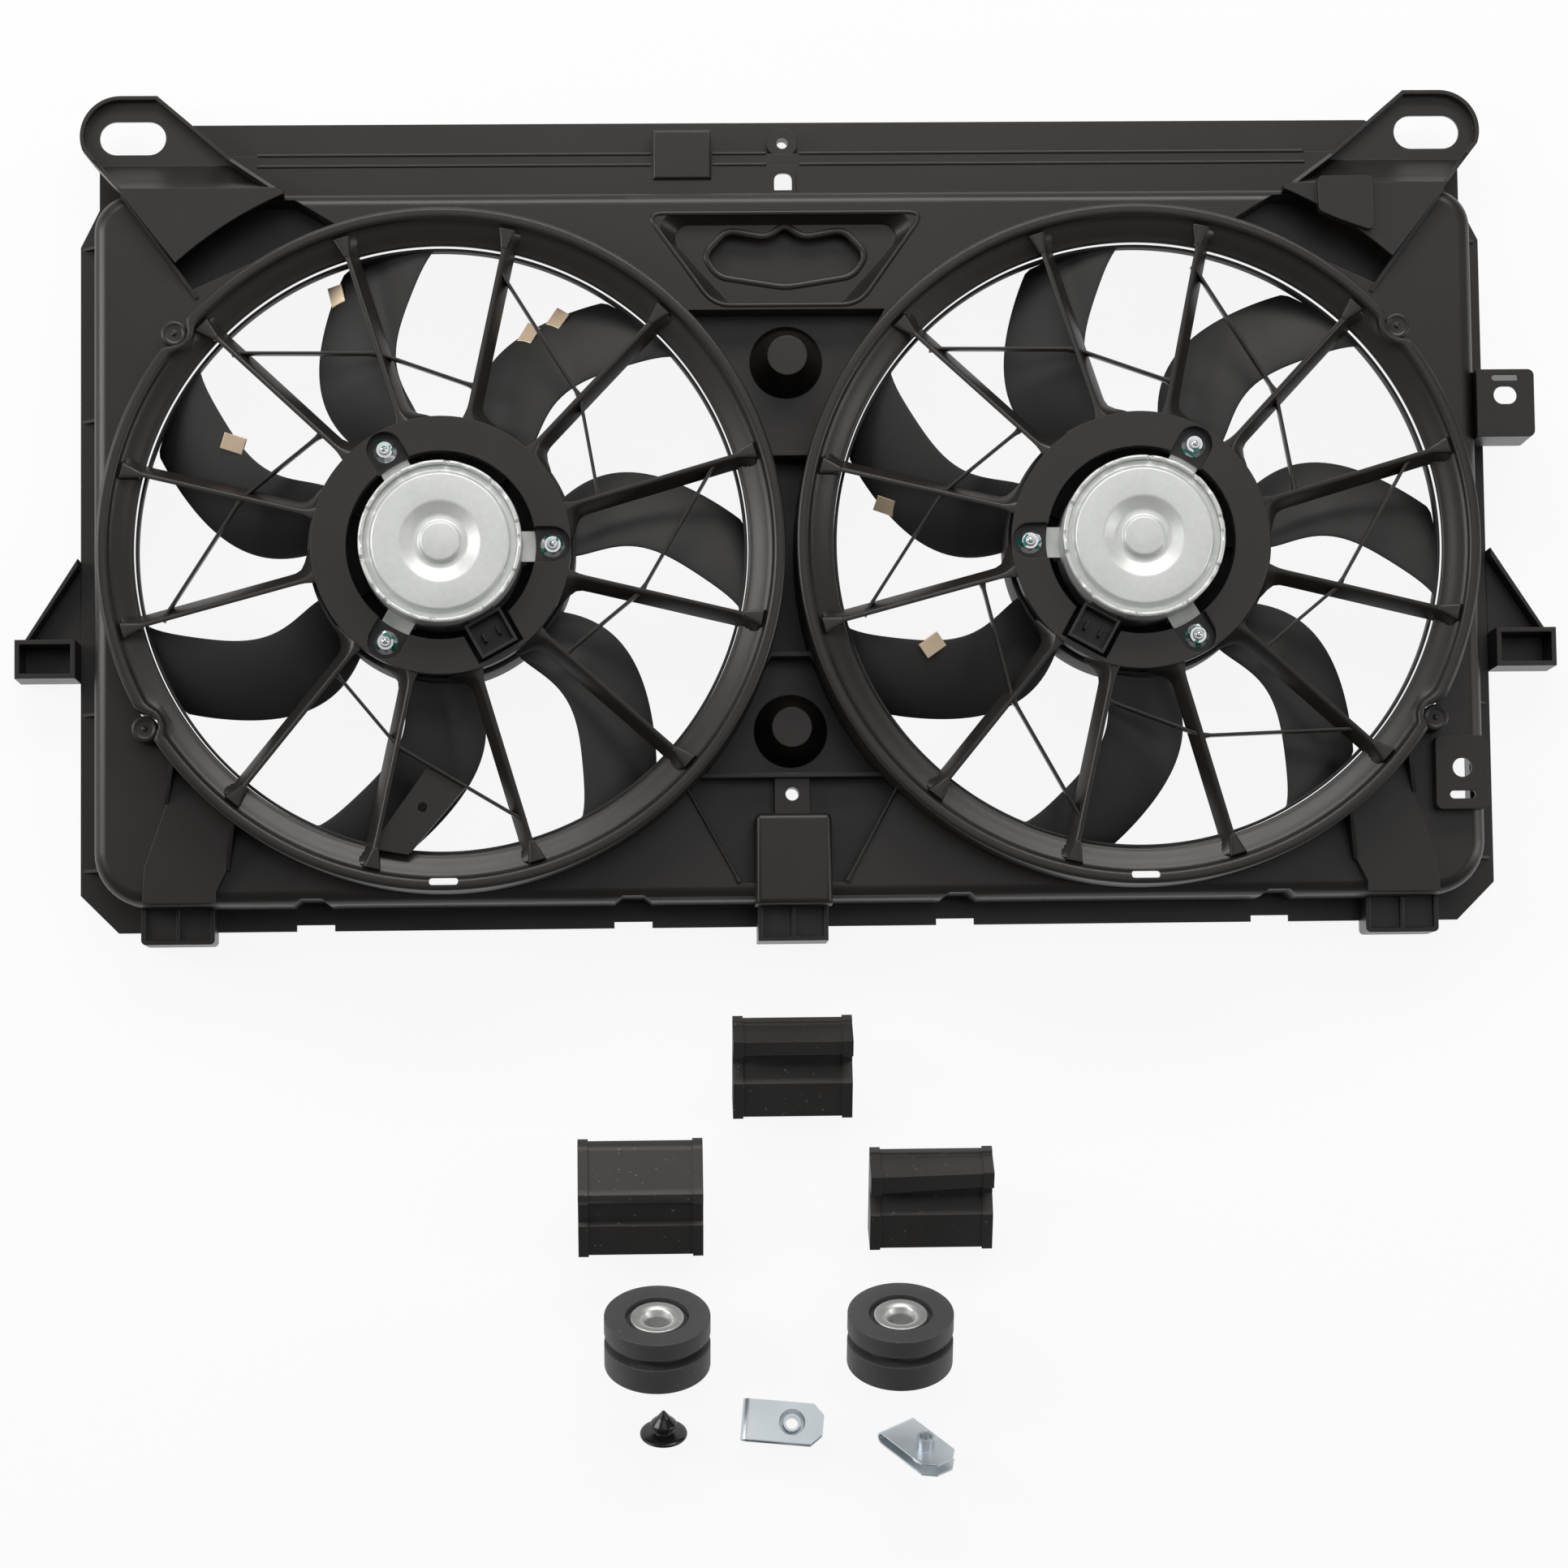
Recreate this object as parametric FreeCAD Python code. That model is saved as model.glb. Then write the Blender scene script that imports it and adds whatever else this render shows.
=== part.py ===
import FreeCAD, Part
import os
from math import atan2, cos, degrees, radians, sin, sqrt

V = FreeCAD.Vector
Z = V(0, 0, 1)

# Frame: the radiator side lies on z = 0, +Z leaves the engine side, the two
# fan axes cross the X axis and the middle between them is the origin.

# Moulding
SKIN = 3.0
PLENUM_H = 55.0
PLENUM_SIDE_RIM = 5.0
PLENUM_BOTTOM_RIM = 5.5
PLENUM_TOP_RIM = 17.0
PLENUM_EDGE_R = 9.0
PLENUM_LOW_CORNER_R = 34.0
PLENUM_HIGH_CORNER_R = 24.0
FLANGE_T = 3.0
FLANGE_SIDE = 13.5
FLANGE_BOTTOM = 13.5
FLANGE_TOP = 55.0
FLANGE_CHAMFER = 24.0
LEDGE_H = 22.0
LEDGE_DEPTH = 23.5
LEDGE_STEP = 8.5
LEDGE_STEP_H = 6.0
NOTCH_W = 24.0
NOTCH_DEPTH = 4.0
NOTCH_PLACES = (-300.5, -100.0, 104.0, 304.5)
ARCH_W = 26.0
ARCH_RISE = 4.0
GUSSET_PLACES = (204.2, 92.8, -94.9, -194.1)
GUSSET_T = 2.0
GUSSET_H = 12.0

# Fan ring
THROAT_R = 191.8
RING_WIDTH = 21.6
RING_LAND = 6.7
RING_H = 37.0
LIP_DROP = 10.0
BEAD_R = 4.5
THROAT_DEPTH = 6.0
RING_SLOT_L = 18.0
RING_SLOT_W = 4.5
RING_SLOT_IN = 6.0

# Stator
HUB_R = 80.4
HUB_BORE_R = 58.6
HUB_RISE = 8.0
HUB_DEPTH = 12.0
VANE_ANGLES = (17.0, 47.0, 78.0, 107.5, 136.5, 166.0, 194.5, 230.5, 257.5, 286.5, 318.5, 347.0)
VANE_T = 2.6
VANE_DEPTH = 11.0
VANE_LEAN = 6.5
VANE_RING_REACH = 10.5
FOOT_R = 5.5
STAY_T = 2.2
STAY_DEPTH = 7.0
STAY_DROP = 2.0
STAY_RADII = (178.0, 127.0, 102.0)
LEFT_STAY_STARTS = (0, 2, 4, 6, 9)
RIGHT_STAY_STARTS = (0, 2, 4, 6, 8, 10)

# Motor seats in the stator
BOLT_CIRCLE_R = 68.9
STUD_R = 3.0
STUD_CLEARANCE = 0.4
POCKET_R = 11.0
POCKET_FLOOR = 3.0
LEFT_BOLT_ANGLE = 0.0
RIGHT_BOLT_ANGLE = 60.0
LEFT_PLUG_ANGLE = -61.0
RIGHT_PLUG_ANGLE = 241.0
PLUG_WINDOW = 31.0

# Fan
BLADES = 7
TIP_CLEARANCE = 2.0
BAND_T = 1.8
BAND_H = 10.0
BAND_TOP_DROP = 5.0
FAN_HUB_R = 83.0
FAN_WALL = 3.0
FAN_HUB_H = 40.0
FAN_HUB_GAP = 4.0
FAN_FACE_T = 3.5
BLADE_T = 2.6
BLADE_DROP = 16.0
BLADE_CAMBER = 3.5
BLADE_ROOT_RISE = 27.0
BLADE_TIP_RISE = 18.0
BLADE_SECTIONS = (
    (0.0, 61.5, 38.0), (0.22, 64.8, 48.0), (0.44, 63.0, 53.0),
    (0.66, 57.4, 57.0), (0.86, 51.9, 57.0), (1.0, 47.8, 58.0),
)
HUB_BOSS_R = 12.0
HUB_BOSS_H = 10.0
HUB_RIB_H = 5.0
LEFT_FAN_PHASE = 0.0
RIGHT_FAN_PHASE = 1.5
CLIP_L = 16.0
CLIP_REACH = 9.0
CLIP_T = 0.8
LEFT_CLIPS = ((1, 0.86, 1), (0, 0.62, 1), (0, 0.76, 1), (2, 0.6, -1))
RIGHT_CLIPS = ((2, 0.71, 1), (3, 0.58, -1))

# Motor
CAN_R = 50.3
CAN_T = 2.2
CAN_H = 54.0
CRIMP_FOLD = 1.6
MOTOR_RISE = 18.0
NOSE_H = 6.0
CAP_T = 2.5
CAP_DISC_R = 43.5
CAP_DISH_R = 21.7
CAP_DISH = 3.0
CAP_BOSS_R = 12.4
SHAFT_R = 4.0
RUNNING_FIT = 0.03
BEARING_R = 9.0
BEARING_H = 7.0
MAGNET_T = 6.0
MAGNET_H = 28.0
MAGNET_SPAN = 140.0
AIR_GAP = 1.5
CORE_LOW = 6.0
CORE_H = 22.0
CORE_SLOTS = 12
CORE_SLOT_W = 5.0
CORE_SLOT_DEPTH = 14.0
WINDING_H = 4.0
COMMUTATOR_R = 11.0
COMMUTATOR_H = 8.0
CARD_T = 2.5
CARD_DROP = 19.0
BRUSH_W = 6.0
BRUSH_L = 10.0
BRUSH_H = 5.0
BRUSH_GAP = 0.3
NECK_W = 18.0
NECK_H = 6.0
PLUG_W = 25.0
PLUG_OUT = 75.0
PLUG_GAP = 1.2
PLUG_LOW = 15.5
PLUG_HIGH = 4.0
PLUG_WALL = 2.0
PLUG_SOCKET_DEPTH = 12.0
TAB_W = 19.0
TAB_T = 2.5
TAB_LEG = 18.0
TAB_OVERHANG = 8.0
STUD_STAND = 13.0
NUT_FLANGE_R = 7.5
NUT_FLANGE_T = 1.5
NUT_FLATS = 10.0
NUT_H = 7.0
FAN_NUT_FLATS = 13.0
FAN_NUT_H = 5.0

# Centre column: sunk floors between the two rings
VALLEY_TOP = 154.0
VALLEY_LOW = -139.5
VALLEY_HALF = 62.0
WAIST_HALF = 12.0
WAIST_TOP = 64.0
WAIST_LOW = -66.0
VALLEY_FLOOR = 32.0
WAIST_FLOOR = 22.0
COLUMN_BOSS_R = 12.5
COLUMN_BOSS_BASE_R = 23.0
COLUMN_BOSS_H = 28.0
COLUMN_BOSS_PLACES = (124.0, -111.0)
TRAY_HALF = 88.0
TRAY_TOP = 216.0
TRAY_LOW = 157.0
TRAY_LOW_HALF = 46.0
TRAY_DEPTH = 10.0
TRAY_SLOPE = 6.0
TRAY_CORNER_R = 12.0
POCKET_DEPTH = 12.0
KIDNEY = (
    (-37, 207), (-11, 202), (0, 211), (11, 202), (37, 207),
    (52, 191), (43, 177), (0, 170), (-43, 177), (-52, 191),
)
NOOK_TOP_HALF = 69.0
NOOK_LOW_HALF = 33.0
NOOK_UP = 10.9
NOOK_FLOOR = 38.0
RIB_T = 2.5
LOWER_TAB_HALF = 11.0
LOWER_TAB_H = 12.0
LOWER_TAB_HOLE_R = 4.2
LOWER_TAB_Y = -152.0

# Top ledge details
PATCH = (-82.9, -45.9)
PATCH_OUT = 45.9
PATCH_L = 31.8
PATCH_RISE = 2.5
PATCH_R = 2.0
TOP_BOSS_Y = 269.6
TOP_BOSS_R = 9.7
TOP_BOSS_H = 14.0
TOP_HOLE_R = 3.6
CLIP_SLOT_Y = 242.8
CLIP_SLOT_W = 12.5
CLIP_SLOT_H = 12.0

# Corner ears with their slotted pans
SLOT_IN = 35.45
SLOT_DOWN = 13.1
SLOT_LENGTH = 41.9
SLOT_W = 21.7
SLOT_CLEAR = 1.5
EAR_FLOOR = 22.0
EAR_T = 3.0
EAR_RIM_T = 2.5
EAR_RIM_H = 7.0
EAR_CREST_Z = 66.0
EAR_ROOF_GAP = 34.5
EAR_POCKET_FLOOR = 26.0
EAR_END_MARGIN = 15.0
EAR_OUTER = 3.0
EAR_INNER = 98.0
EAR_SHOULDER = 16.0
EAR_BEND = 26.0
EAR_RIB_OUT = (43.0, 163.0)
EAR_RIB_IN = (134.0, 213.0)
EAR_ROOF_TIP = (31.0, 183.0)
EAR_PLATE = ((78.0, 234.3), (42.0, 234.3), (42.0, 198.5), (63.0, 206.0), (77.0, 212.0))
EAR_PLATE_RISE = 6.0

# Side tabs, brackets and feet
TAB_OUT = 38.0
TAB_LOW = -73.5
TAB_HIGH = -49.0
TAB_H = 34.0
TAB_WEB_TOP = 4.0
BRACKET_OUT = 36.5
BRACKET_LOW = 69.0
BRACKET_HIGH = 112.0
BRACKET_BASE = 22.0
BRACKET_TOP = 60.0
BRACKET_HOLE_R = 5.7
BRACKET_HOLE_DOWN = 16.5
BRACKET_WINDOW_L = 17.0
BRACKET_WINDOW_W = 3.5
BRACKET_WINDOW_DOWN = 5.5
PERCH_W = 33.15
PERCH_UP = 51.9
PERCH_L = 46.0
PERCH_RISE = 14.0
PERCH_HOLE_R = 6.0
FOOT_HALF = 23.0
FOOT_IN = 50.15
FOOT_OUT = 22.5
FOOT_H = 30.0
BLOCK_HALF = 24.0
BLOCK_UP = 53.9
BLOCK_LAP = 3.1
BLOCK_RISE = 9.0
BLOCK_FOOT_OUT = 24.5
BLOCK_FOOT_H = 40.0
BUTTRESS = (
    (51.5, 87.0), (45.9, 63.3), (32.1, 23.5), (30.8, 1.3),
    (76.4, 1.3), (76.4, 7.9), (83.5, 22.0), (89.1, 53.7),
)
BUTTRESS_RISE = 7.0
FIN_RISE = 29.0
PEG_R = 8.0
PEG_H = 25.0
PEG_OUT = 1.1
PEG_GAP = 1.2
PEG_ANGLES = (39.5, -31.0)
HARNESS_TAB = ((137.0, 266.0), (149.0, 275.7), (192.0, 263.6), (192.0, 256.3))
HARNESS_TAB_T = 3.0
HARNESS_HOLE = (162.0, 265.5)
HARNESS_HOLE_R = 3.0

# Fitting kit laid out below the moulding, each piece tipped back
KIT_TIP = 57.0
PAD_CHEEK_W = 6.5
PAD_CHEEK_RISE = 0.9
HOOK_PAD_W = 75.0
HOOK_PAD_PLACE = (-1.3, -322.0)
STEP_PAD_W = 78.0
STEP_PAD_PLACE = (-97.4, -402.5)
SLANT_PAD_W = 76.8
SLANT_PAD_PLACE = (84.4, -405.0)
SLANT_DROP = 5.0
BUSH_R = 33.1
BUSH_H = 36.5
BUSH_FLANGE_LOW = 17.2
BUSH_FLANGE_HIGH = 12.3
BUSH_GROOVE_DEPTH = 8.0
BUSH_RECESS_R = 19.8
BUSH_RECESS_DEPTH = 5.0
SLEEVE_R = 9.6
SLEEVE_BORE_R = 7.8
SLEEVE_FLANGE_R = 16.7
SLEEVE_SET_BACK = 1.2
BUSH_PLACES = ((-87.8, -490.6), (63.4, -490.8))
PUSH_PLUG_R = 14.8
PUSH_PLUG_H = 18.0
PUSH_PLUG_PLACE = (-84.3, -546.6)
CLIP_NUT_L = 47.0
CLIP_NUT_W = 26.0
CLIP_NUT_T = 1.1
CLIP_NUT_GAP = 6.5
CLIP_NUT_CORNER = 7.0
COLLAR_R = 5.6
COLLAR_BORE_R = 4.0
COLLAR_H = 8.0
CLIP_NUT_PLACES = ((-10.0, -544.2), (73.1, -560.0))


def box(x0, x1, y0, y1, z0, z1):
    return Part.makeBox(x1 - x0, y1 - y0, z1 - z0, V(x0, y0, z0))


def rod(r, z0, z1, x=0.0, y=0.0):
    return Part.makeCylinder(r, z1 - z0, V(x, y, z0), Z)


def tube(r_out, r_in, z0, z1, x=0.0, y=0.0):
    return rod(r_out, z0, z1, x, y).cut(rod(r_in, z0, z1, x, y))


def cone(r0, r1, z0, z1, x=0.0, y=0.0):
    return Part.makeCone(r0, r1, z1 - z0, V(x, y, z0), Z)


def polygon(points):
    corners = [V(p[0], p[1], p[2] if len(p) > 2 else 0) for p in points]
    return Part.makePolygon(corners + corners[:1])


def prism(points, z0, z1):
    """A straight prism on the polygon of (x, y) points, from z0 up to z1."""
    face = Part.Face(polygon([(x, y, z0) for x, y in points]))
    return face.extrude(V(0, 0, z1 - z0))


def revolve(points):
    """A full turn about Z of a polygon of (radius, z) points."""
    face = Part.Face(polygon([(r, 0, z) for r, z in points]))
    return face.revolve(V(0, 0, 0), Z, 360)


def turned(shape, angle, x=0.0, y=0.0):
    copy = shape.copy()
    copy.rotate(V(x, y, 0), Z, angle)
    return copy


def moved(shape, x=0.0, y=0.0, z=0.0):
    copy = shape.copy()
    copy.translate(V(x, y, z))
    return copy


def mirrored(shape):
    return shape.mirror(V(0, 0, 0), V(1, 0, 0))


def polar(r, angle):
    return r * cos(radians(angle)), r * sin(radians(angle))


def fused(shapes):
    return shapes[0].multiFuse(shapes[1:]).removeSplitter()


def upright_edges(shape, places, reach):
    """The vertical edges of a shape within reach of the (x, y) places."""
    found = []
    for edge in shape.Edges:
        a = edge.firstVertex().Point
        b = edge.lastVertex().Point
        if abs(a.x - b.x) + abs(a.y - b.y) > 0.01 or abs(a.z - b.z) < 0.01:
            continue
        if any(abs(a.x - x) + abs(a.y - y) < reach for x, y in places):
            found.append(edge)
    return found


def edges_at(shape, z):
    return [e for e in shape.Edges if max(abs(e.BoundBox.ZMin - z), abs(e.BoundBox.ZMax - z)) < 0.01]


def biggest(shape):
    return max(shape.Solids, key=lambda s: s.Volume)


# Sizes that follow from the driving ones
RING_R = THROAT_R + RING_WIDTH
FAN_X = RING_R + RING_LAND / 2
PLENUM_X = FAN_X + RING_R + PLENUM_SIDE_RIM
PLENUM_BOTTOM = -RING_R - PLENUM_BOTTOM_RIM
PLENUM_TOP = RING_R + PLENUM_TOP_RIM
FLANGE_X = PLENUM_X + FLANGE_SIDE
FLANGE_LOW = PLENUM_BOTTOM - FLANGE_BOTTOM
FLANGE_HIGH = PLENUM_TOP + FLANGE_TOP
BEAD_Z = PLENUM_H + RING_H
LIP_Z = BEAD_Z - LIP_DROP
HUB_TOP = BEAD_Z + HUB_RISE
HUB_BOTTOM = HUB_TOP - HUB_DEPTH
MOTOR_TOP = HUB_TOP + MOTOR_RISE
NOOK_LOW = PLENUM_BOTTOM + NOOK_UP
SLOT_X = FLANGE_X - SLOT_IN
SLOT_Y = FLANGE_HIGH - SLOT_DOWN
PERCH_IN = PLENUM_X - PERCH_W
PERCH_LOW = PLENUM_BOTTOM + PERCH_UP
PERCH_HIGH = PERCH_LOW + PERCH_L
FOOT_X = PLENUM_X - FOOT_IN
BLOCK_TOP_Y = PLENUM_BOTTOM + BLOCK_UP
BLOCK_LOW_Y = PLENUM_BOTTOM - BLOCK_LAP
PATCH_LOW = PLENUM_TOP + PATCH_OUT - PATCH_L


def rounded_block(x0, x1, y0, y1, z0, z1, low_r, high_r):
    """A block with low_r on its two corners at y0 and high_r on those at y1."""
    block = box(x0, x1, y0, y1, z0, z1)
    if low_r > 0:
        block = block.makeFillet(low_r, upright_edges(block, [(x0, y0), (x1, y0)], 0.1))
    if high_r > 0:
        block = block.makeFillet(high_r, upright_edges(block, [(x0, y1), (x1, y1)], 0.1))
    return block


def flange_plate():
    """The flat seating flange, its lower edge stepped by four notches."""
    c = FLANGE_CHAMFER
    waist = PLENUM_TOP - c
    outline = [
        (-FLANGE_X, FLANGE_LOW + c), (-FLANGE_X + c, FLANGE_LOW),
        (FLANGE_X - c, FLANGE_LOW), (FLANGE_X, FLANGE_LOW + c),
        (FLANGE_X, waist), (FLANGE_X - c / 2, PLENUM_TOP),
        (FLANGE_X - c / 2, FLANGE_HIGH - c), (FLANGE_X - 3 * c, FLANGE_HIGH),
        (-FLANGE_X + 3 * c, FLANGE_HIGH), (-FLANGE_X + c / 2, FLANGE_HIGH - c),
        (-FLANGE_X + c / 2, PLENUM_TOP), (-FLANGE_X, waist),
    ]
    plate = prism(outline, 0, FLANGE_T)
    for x in NOTCH_PLACES:
        notch = box(x - NOTCH_W / 2, x + NOTCH_W / 2, FLANGE_LOW - 1, FLANGE_LOW + NOTCH_DEPTH,
                    -1, FLANGE_T + 1)
        plate = plate.cut(notch)
    return plate


def ring_rods(r, z0, z1):
    return rod(r, z0, z1, -FAN_X).fuse(rod(r, z0, z1, FAN_X))


def sink(shell, plenum, points, floor):
    """Sink a lined pocket with this outline, clear of both ring walls."""
    outline = polygon([(x, y, floor - SKIN) for x, y in points])
    lining = Part.Face(outline.makeOffset2D(SKIN)).extrude(V(0, 0, PLENUM_H - floor + SKIN))
    lining = lining.cut(ring_rods(RING_R - SKIN, floor - SKIN - 1, PLENUM_H + 1)).common(plenum)
    pocket = prism(points, floor, PLENUM_H + 1).cut(ring_rods(RING_R, floor - 1, PLENUM_H + 2))
    return shell.fuse(lining).cut(pocket)


def column_boss(y):
    """A hollow cone with a flat top, standing on the valley floor."""
    top = VALLEY_FLOOR + COLUMN_BOSS_H
    solid = cone(COLUMN_BOSS_BASE_R, COLUMN_BOSS_R, VALLEY_FLOOR, top, 0, y)
    core = cone(COLUMN_BOSS_BASE_R - SKIN, COLUMN_BOSS_R - SKIN, VALLEY_FLOOR - SKIN, top - SKIN, 0, y)
    return solid, core


def tray_outline(shrink, z):
    """The tray between the rings: wide above, narrow below, upper corners round."""
    top = TRAY_HALF - shrink * 1.3
    low = TRAY_LOW_HALF - shrink * 2.2
    high_y = TRAY_TOP - shrink
    return polygon([(-low, TRAY_LOW, z), (low, TRAY_LOW, z), (top, high_y, z), (-top, high_y, z)])


def tray_cut():
    """The sloped-wall tray and the kidney-shaped pocket in its floor."""
    floor = PLENUM_H - TRAY_DEPTH
    tray = Part.makeLoft([tray_outline(TRAY_SLOPE, floor), tray_outline(0, PLENUM_H + 0.01)], True, True)
    sloping = [e for e in tray.Edges if abs(e.firstVertex().Z - e.lastVertex().Z) > TRAY_DEPTH / 2]
    tray = tray.makeFillet(TRAY_CORNER_R, sloping)
    kidney = prism(KIDNEY, floor - POCKET_DEPTH, floor + 1)
    corners = [(x, y) for x, y in KIDNEY if abs(x) > 30]
    return tray.fuse(kidney.makeFillet(7.0, upright_edges(kidney, corners, 0.5)))


def ear_pocket(side):
    """Outline of the deep corner pocket between the ear's roof and the ring."""
    crest_y = PLENUM_TOP - SKIN - 1.5
    points = [(SLOT_X - 6, crest_y), (SLOT_X - 38, 168), (SLOT_X - 130, 210), (SLOT_X - 104, crest_y)]
    return [(side * x, y) for x, y in points]


def shroud_shell():
    """Plenum, seating flange, stepped ledge and centre column, open below."""
    plenum = rounded_block(-PLENUM_X, PLENUM_X, PLENUM_BOTTOM, PLENUM_TOP, 0, PLENUM_H,
                           PLENUM_LOW_CORNER_R, PLENUM_HIGH_CORNER_R)
    plenum = plenum.makeFillet(PLENUM_EDGE_R, edges_at(plenum, PLENUM_H))
    hollow = rounded_block(-PLENUM_X + SKIN, PLENUM_X - SKIN, PLENUM_BOTTOM + SKIN, PLENUM_TOP - SKIN,
                           -1, PLENUM_H - SKIN, PLENUM_LOW_CORNER_R - SKIN, PLENUM_HIGH_CORNER_R - SKIN)
    hollow = hollow.makeFillet(PLENUM_EDGE_R - SKIN, edges_at(hollow, PLENUM_H - SKIN))
    for x in NOTCH_PLACES:
        plenum = plenum.cut(arch(x, 0))
        hollow = hollow.cut(arch(x, SKIN))
    ledge_x = FLANGE_X - 3 * FLANGE_CHAMFER
    ledge_y = PLENUM_TOP + LEDGE_DEPTH
    wall_y = PLENUM_TOP - SKIN
    ledge = box(-ledge_x, ledge_x, wall_y, ledge_y, 0, LEDGE_H)
    step = box(-ledge_x, ledge_x, wall_y, ledge_y + LEDGE_STEP, 0, LEDGE_H - LEDGE_STEP_H)
    ledge_hollow = box(-ledge_x + SKIN, ledge_x - SKIN, PLENUM_TOP, ledge_y - SKIN, -1, LEDGE_H - SKIN)
    step_hollow = box(-ledge_x + SKIN, ledge_x - SKIN, PLENUM_TOP, ledge_y + LEDGE_STEP - SKIN,
                      -1, LEDGE_H - LEDGE_STEP_H - SKIN)
    top_boss = rod(TOP_BOSS_R, 0, TOP_BOSS_H, 0, TOP_BOSS_Y)
    patch_top = LEDGE_H + PATCH_RISE
    patch = box(PATCH[0], PATCH[1], PATCH_LOW, PATCH_LOW + PATCH_L, 0, patch_top)
    patch = patch.makeFillet(PATCH_R, edges_at(patch, patch_top))
    shell = fused([plenum.cut(hollow), flange_plate().cut(hollow), ledge, step, top_boss, patch])
    shell = fused([shell] + gussets())
    shell = shell.cut(ledge_hollow.fuse(step_hollow).cut(top_boss))
    shell = shell.cut(box(PATCH[0] + SKIN, PATCH[1] - SKIN, PATCH_LOW + SKIN, PATCH_LOW + PATCH_L - SKIN,
                          -1, patch_top - SKIN))
    for side in (-1, 1):
        ear_slot = stadium(SLOT_LENGTH + 2 * SLOT_CLEAR, SLOT_W + 2 * SLOT_CLEAR, -1, LEDGE_H)
        shell = shell.cut(moved(ear_slot, side * SLOT_X, SLOT_Y))
    shell = shell.cut(rod(TOP_HOLE_R, -1, TOP_BOSS_H + 1, 0, TOP_BOSS_Y))
    shell = shell.cut(box(-CLIP_SLOT_W / 2, CLIP_SLOT_W / 2, CLIP_SLOT_Y - CLIP_SLOT_H / 2,
                          CLIP_SLOT_Y + CLIP_SLOT_H / 2, -1, LEDGE_H + 1))

    waist = [(-WAIST_HALF, WAIST_LOW), (WAIST_HALF, WAIST_LOW),
             (WAIST_HALF, WAIST_TOP), (-WAIST_HALF, WAIST_TOP)]
    upper = [(-WAIST_HALF, WAIST_TOP), (WAIST_HALF, WAIST_TOP),
             (VALLEY_HALF, VALLEY_TOP), (-VALLEY_HALF, VALLEY_TOP)]
    lower = [(-VALLEY_HALF, VALLEY_LOW), (VALLEY_HALF, VALLEY_LOW),
             (WAIST_HALF, WAIST_LOW), (-WAIST_HALF, WAIST_LOW)]
    nook = [(-NOOK_LOW_HALF, NOOK_LOW), (NOOK_LOW_HALF, NOOK_LOW),
            (NOOK_TOP_HALF, VALLEY_LOW - RIB_T), (-NOOK_TOP_HALF, VALLEY_LOW - RIB_T)]
    shell = sink(shell, plenum, waist, WAIST_FLOOR)
    shell = sink(shell, plenum, upper, VALLEY_FLOOR)
    shell = sink(shell, plenum, lower, VALLEY_FLOOR)
    shell = sink(shell, plenum, nook, NOOK_FLOOR)
    for side in (-1, 1):
        shell = sink(shell, plenum, ear_pocket(side), EAR_POCKET_FLOOR)

    tray_block = prism([(p.Point.x, p.Point.y) for p in tray_outline(-SKIN, 0).Vertexes],
                       PLENUM_H - TRAY_DEPTH - SKIN, PLENUM_H)
    half = max(x for x, y in KIDNEY) + SKIN
    floor = PLENUM_H - TRAY_DEPTH
    kidney_block = rounded_block(-half, half, min(y for x, y in KIDNEY) - SKIN,
                                 max(y for x, y in KIDNEY) + SKIN, floor - POCKET_DEPTH - SKIN, floor, 12, 12)
    clear = ring_rods(RING_R - SKIN, 0, PLENUM_H + 1)
    shell = shell.fuse(tray_block.fuse(kidney_block).cut(clear)).cut(tray_cut())
    for y in COLUMN_BOSS_PLACES:
        solid, core = column_boss(y)
        shell = shell.fuse(solid).cut(core)
    tab_top = NOOK_FLOOR + LOWER_TAB_H
    tab = box(-LOWER_TAB_HALF, LOWER_TAB_HALF, BLOCK_TOP_Y, VALLEY_LOW - RIB_T, NOOK_FLOOR, tab_top)
    hole = rod(LOWER_TAB_HOLE_R, NOOK_FLOOR - SKIN - 1, tab_top + 1, 0, LOWER_TAB_Y)
    shell = shell.fuse(tab).cut(hole)
    for side in (-1, 1):
        solid, core = buttress(side)
        shell = shell.cut(core).fuse(solid)
    shell = shell.cut(ring_rods(RING_R, PLENUM_H - SKIN, PLENUM_H + 2 * EAR_CREST_Z))
    for side in (-1, 1):
        for angle in PEG_ANGLES:
            x, y = polar(RING_R + PEG_OUT, angle)
            shell = shell.fuse(rod(PEG_R, PLENUM_H - SKIN, PLENUM_H + PEG_H, side * (FAN_X + x), y))
    return shell.removeSplitter()


def arch(x, wall):
    """The shallow arch in the lower wall above a notch, this much wall around it."""
    half = ARCH_W / 2 + wall
    y0 = PLENUM_BOTTOM - 1
    y1 = PLENUM_BOTTOM + ARCH_RISE + wall
    return prism([(x - half, y0), (x + half, y0), (x + half / 2, y1), (x - half / 2, y1)],
                 FLANGE_T, PLENUM_H + 1)


def gussets():
    """Small triangles between the side walls and the seating flange."""
    ribs = []
    for side in (-1, 1):
        for y in GUSSET_PLACES:
            foot_z = FLANGE_T - 1
            points = ((PLENUM_X - 1, foot_z), (FLANGE_X - 1, foot_z), (PLENUM_X - 1, FLANGE_T + GUSSET_H))
            face = Part.Face(polygon([(side * x, y, z) for x, z in points]))
            ribs.append(face.extrude(V(0, GUSSET_T, 0)))
    return ribs


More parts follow.
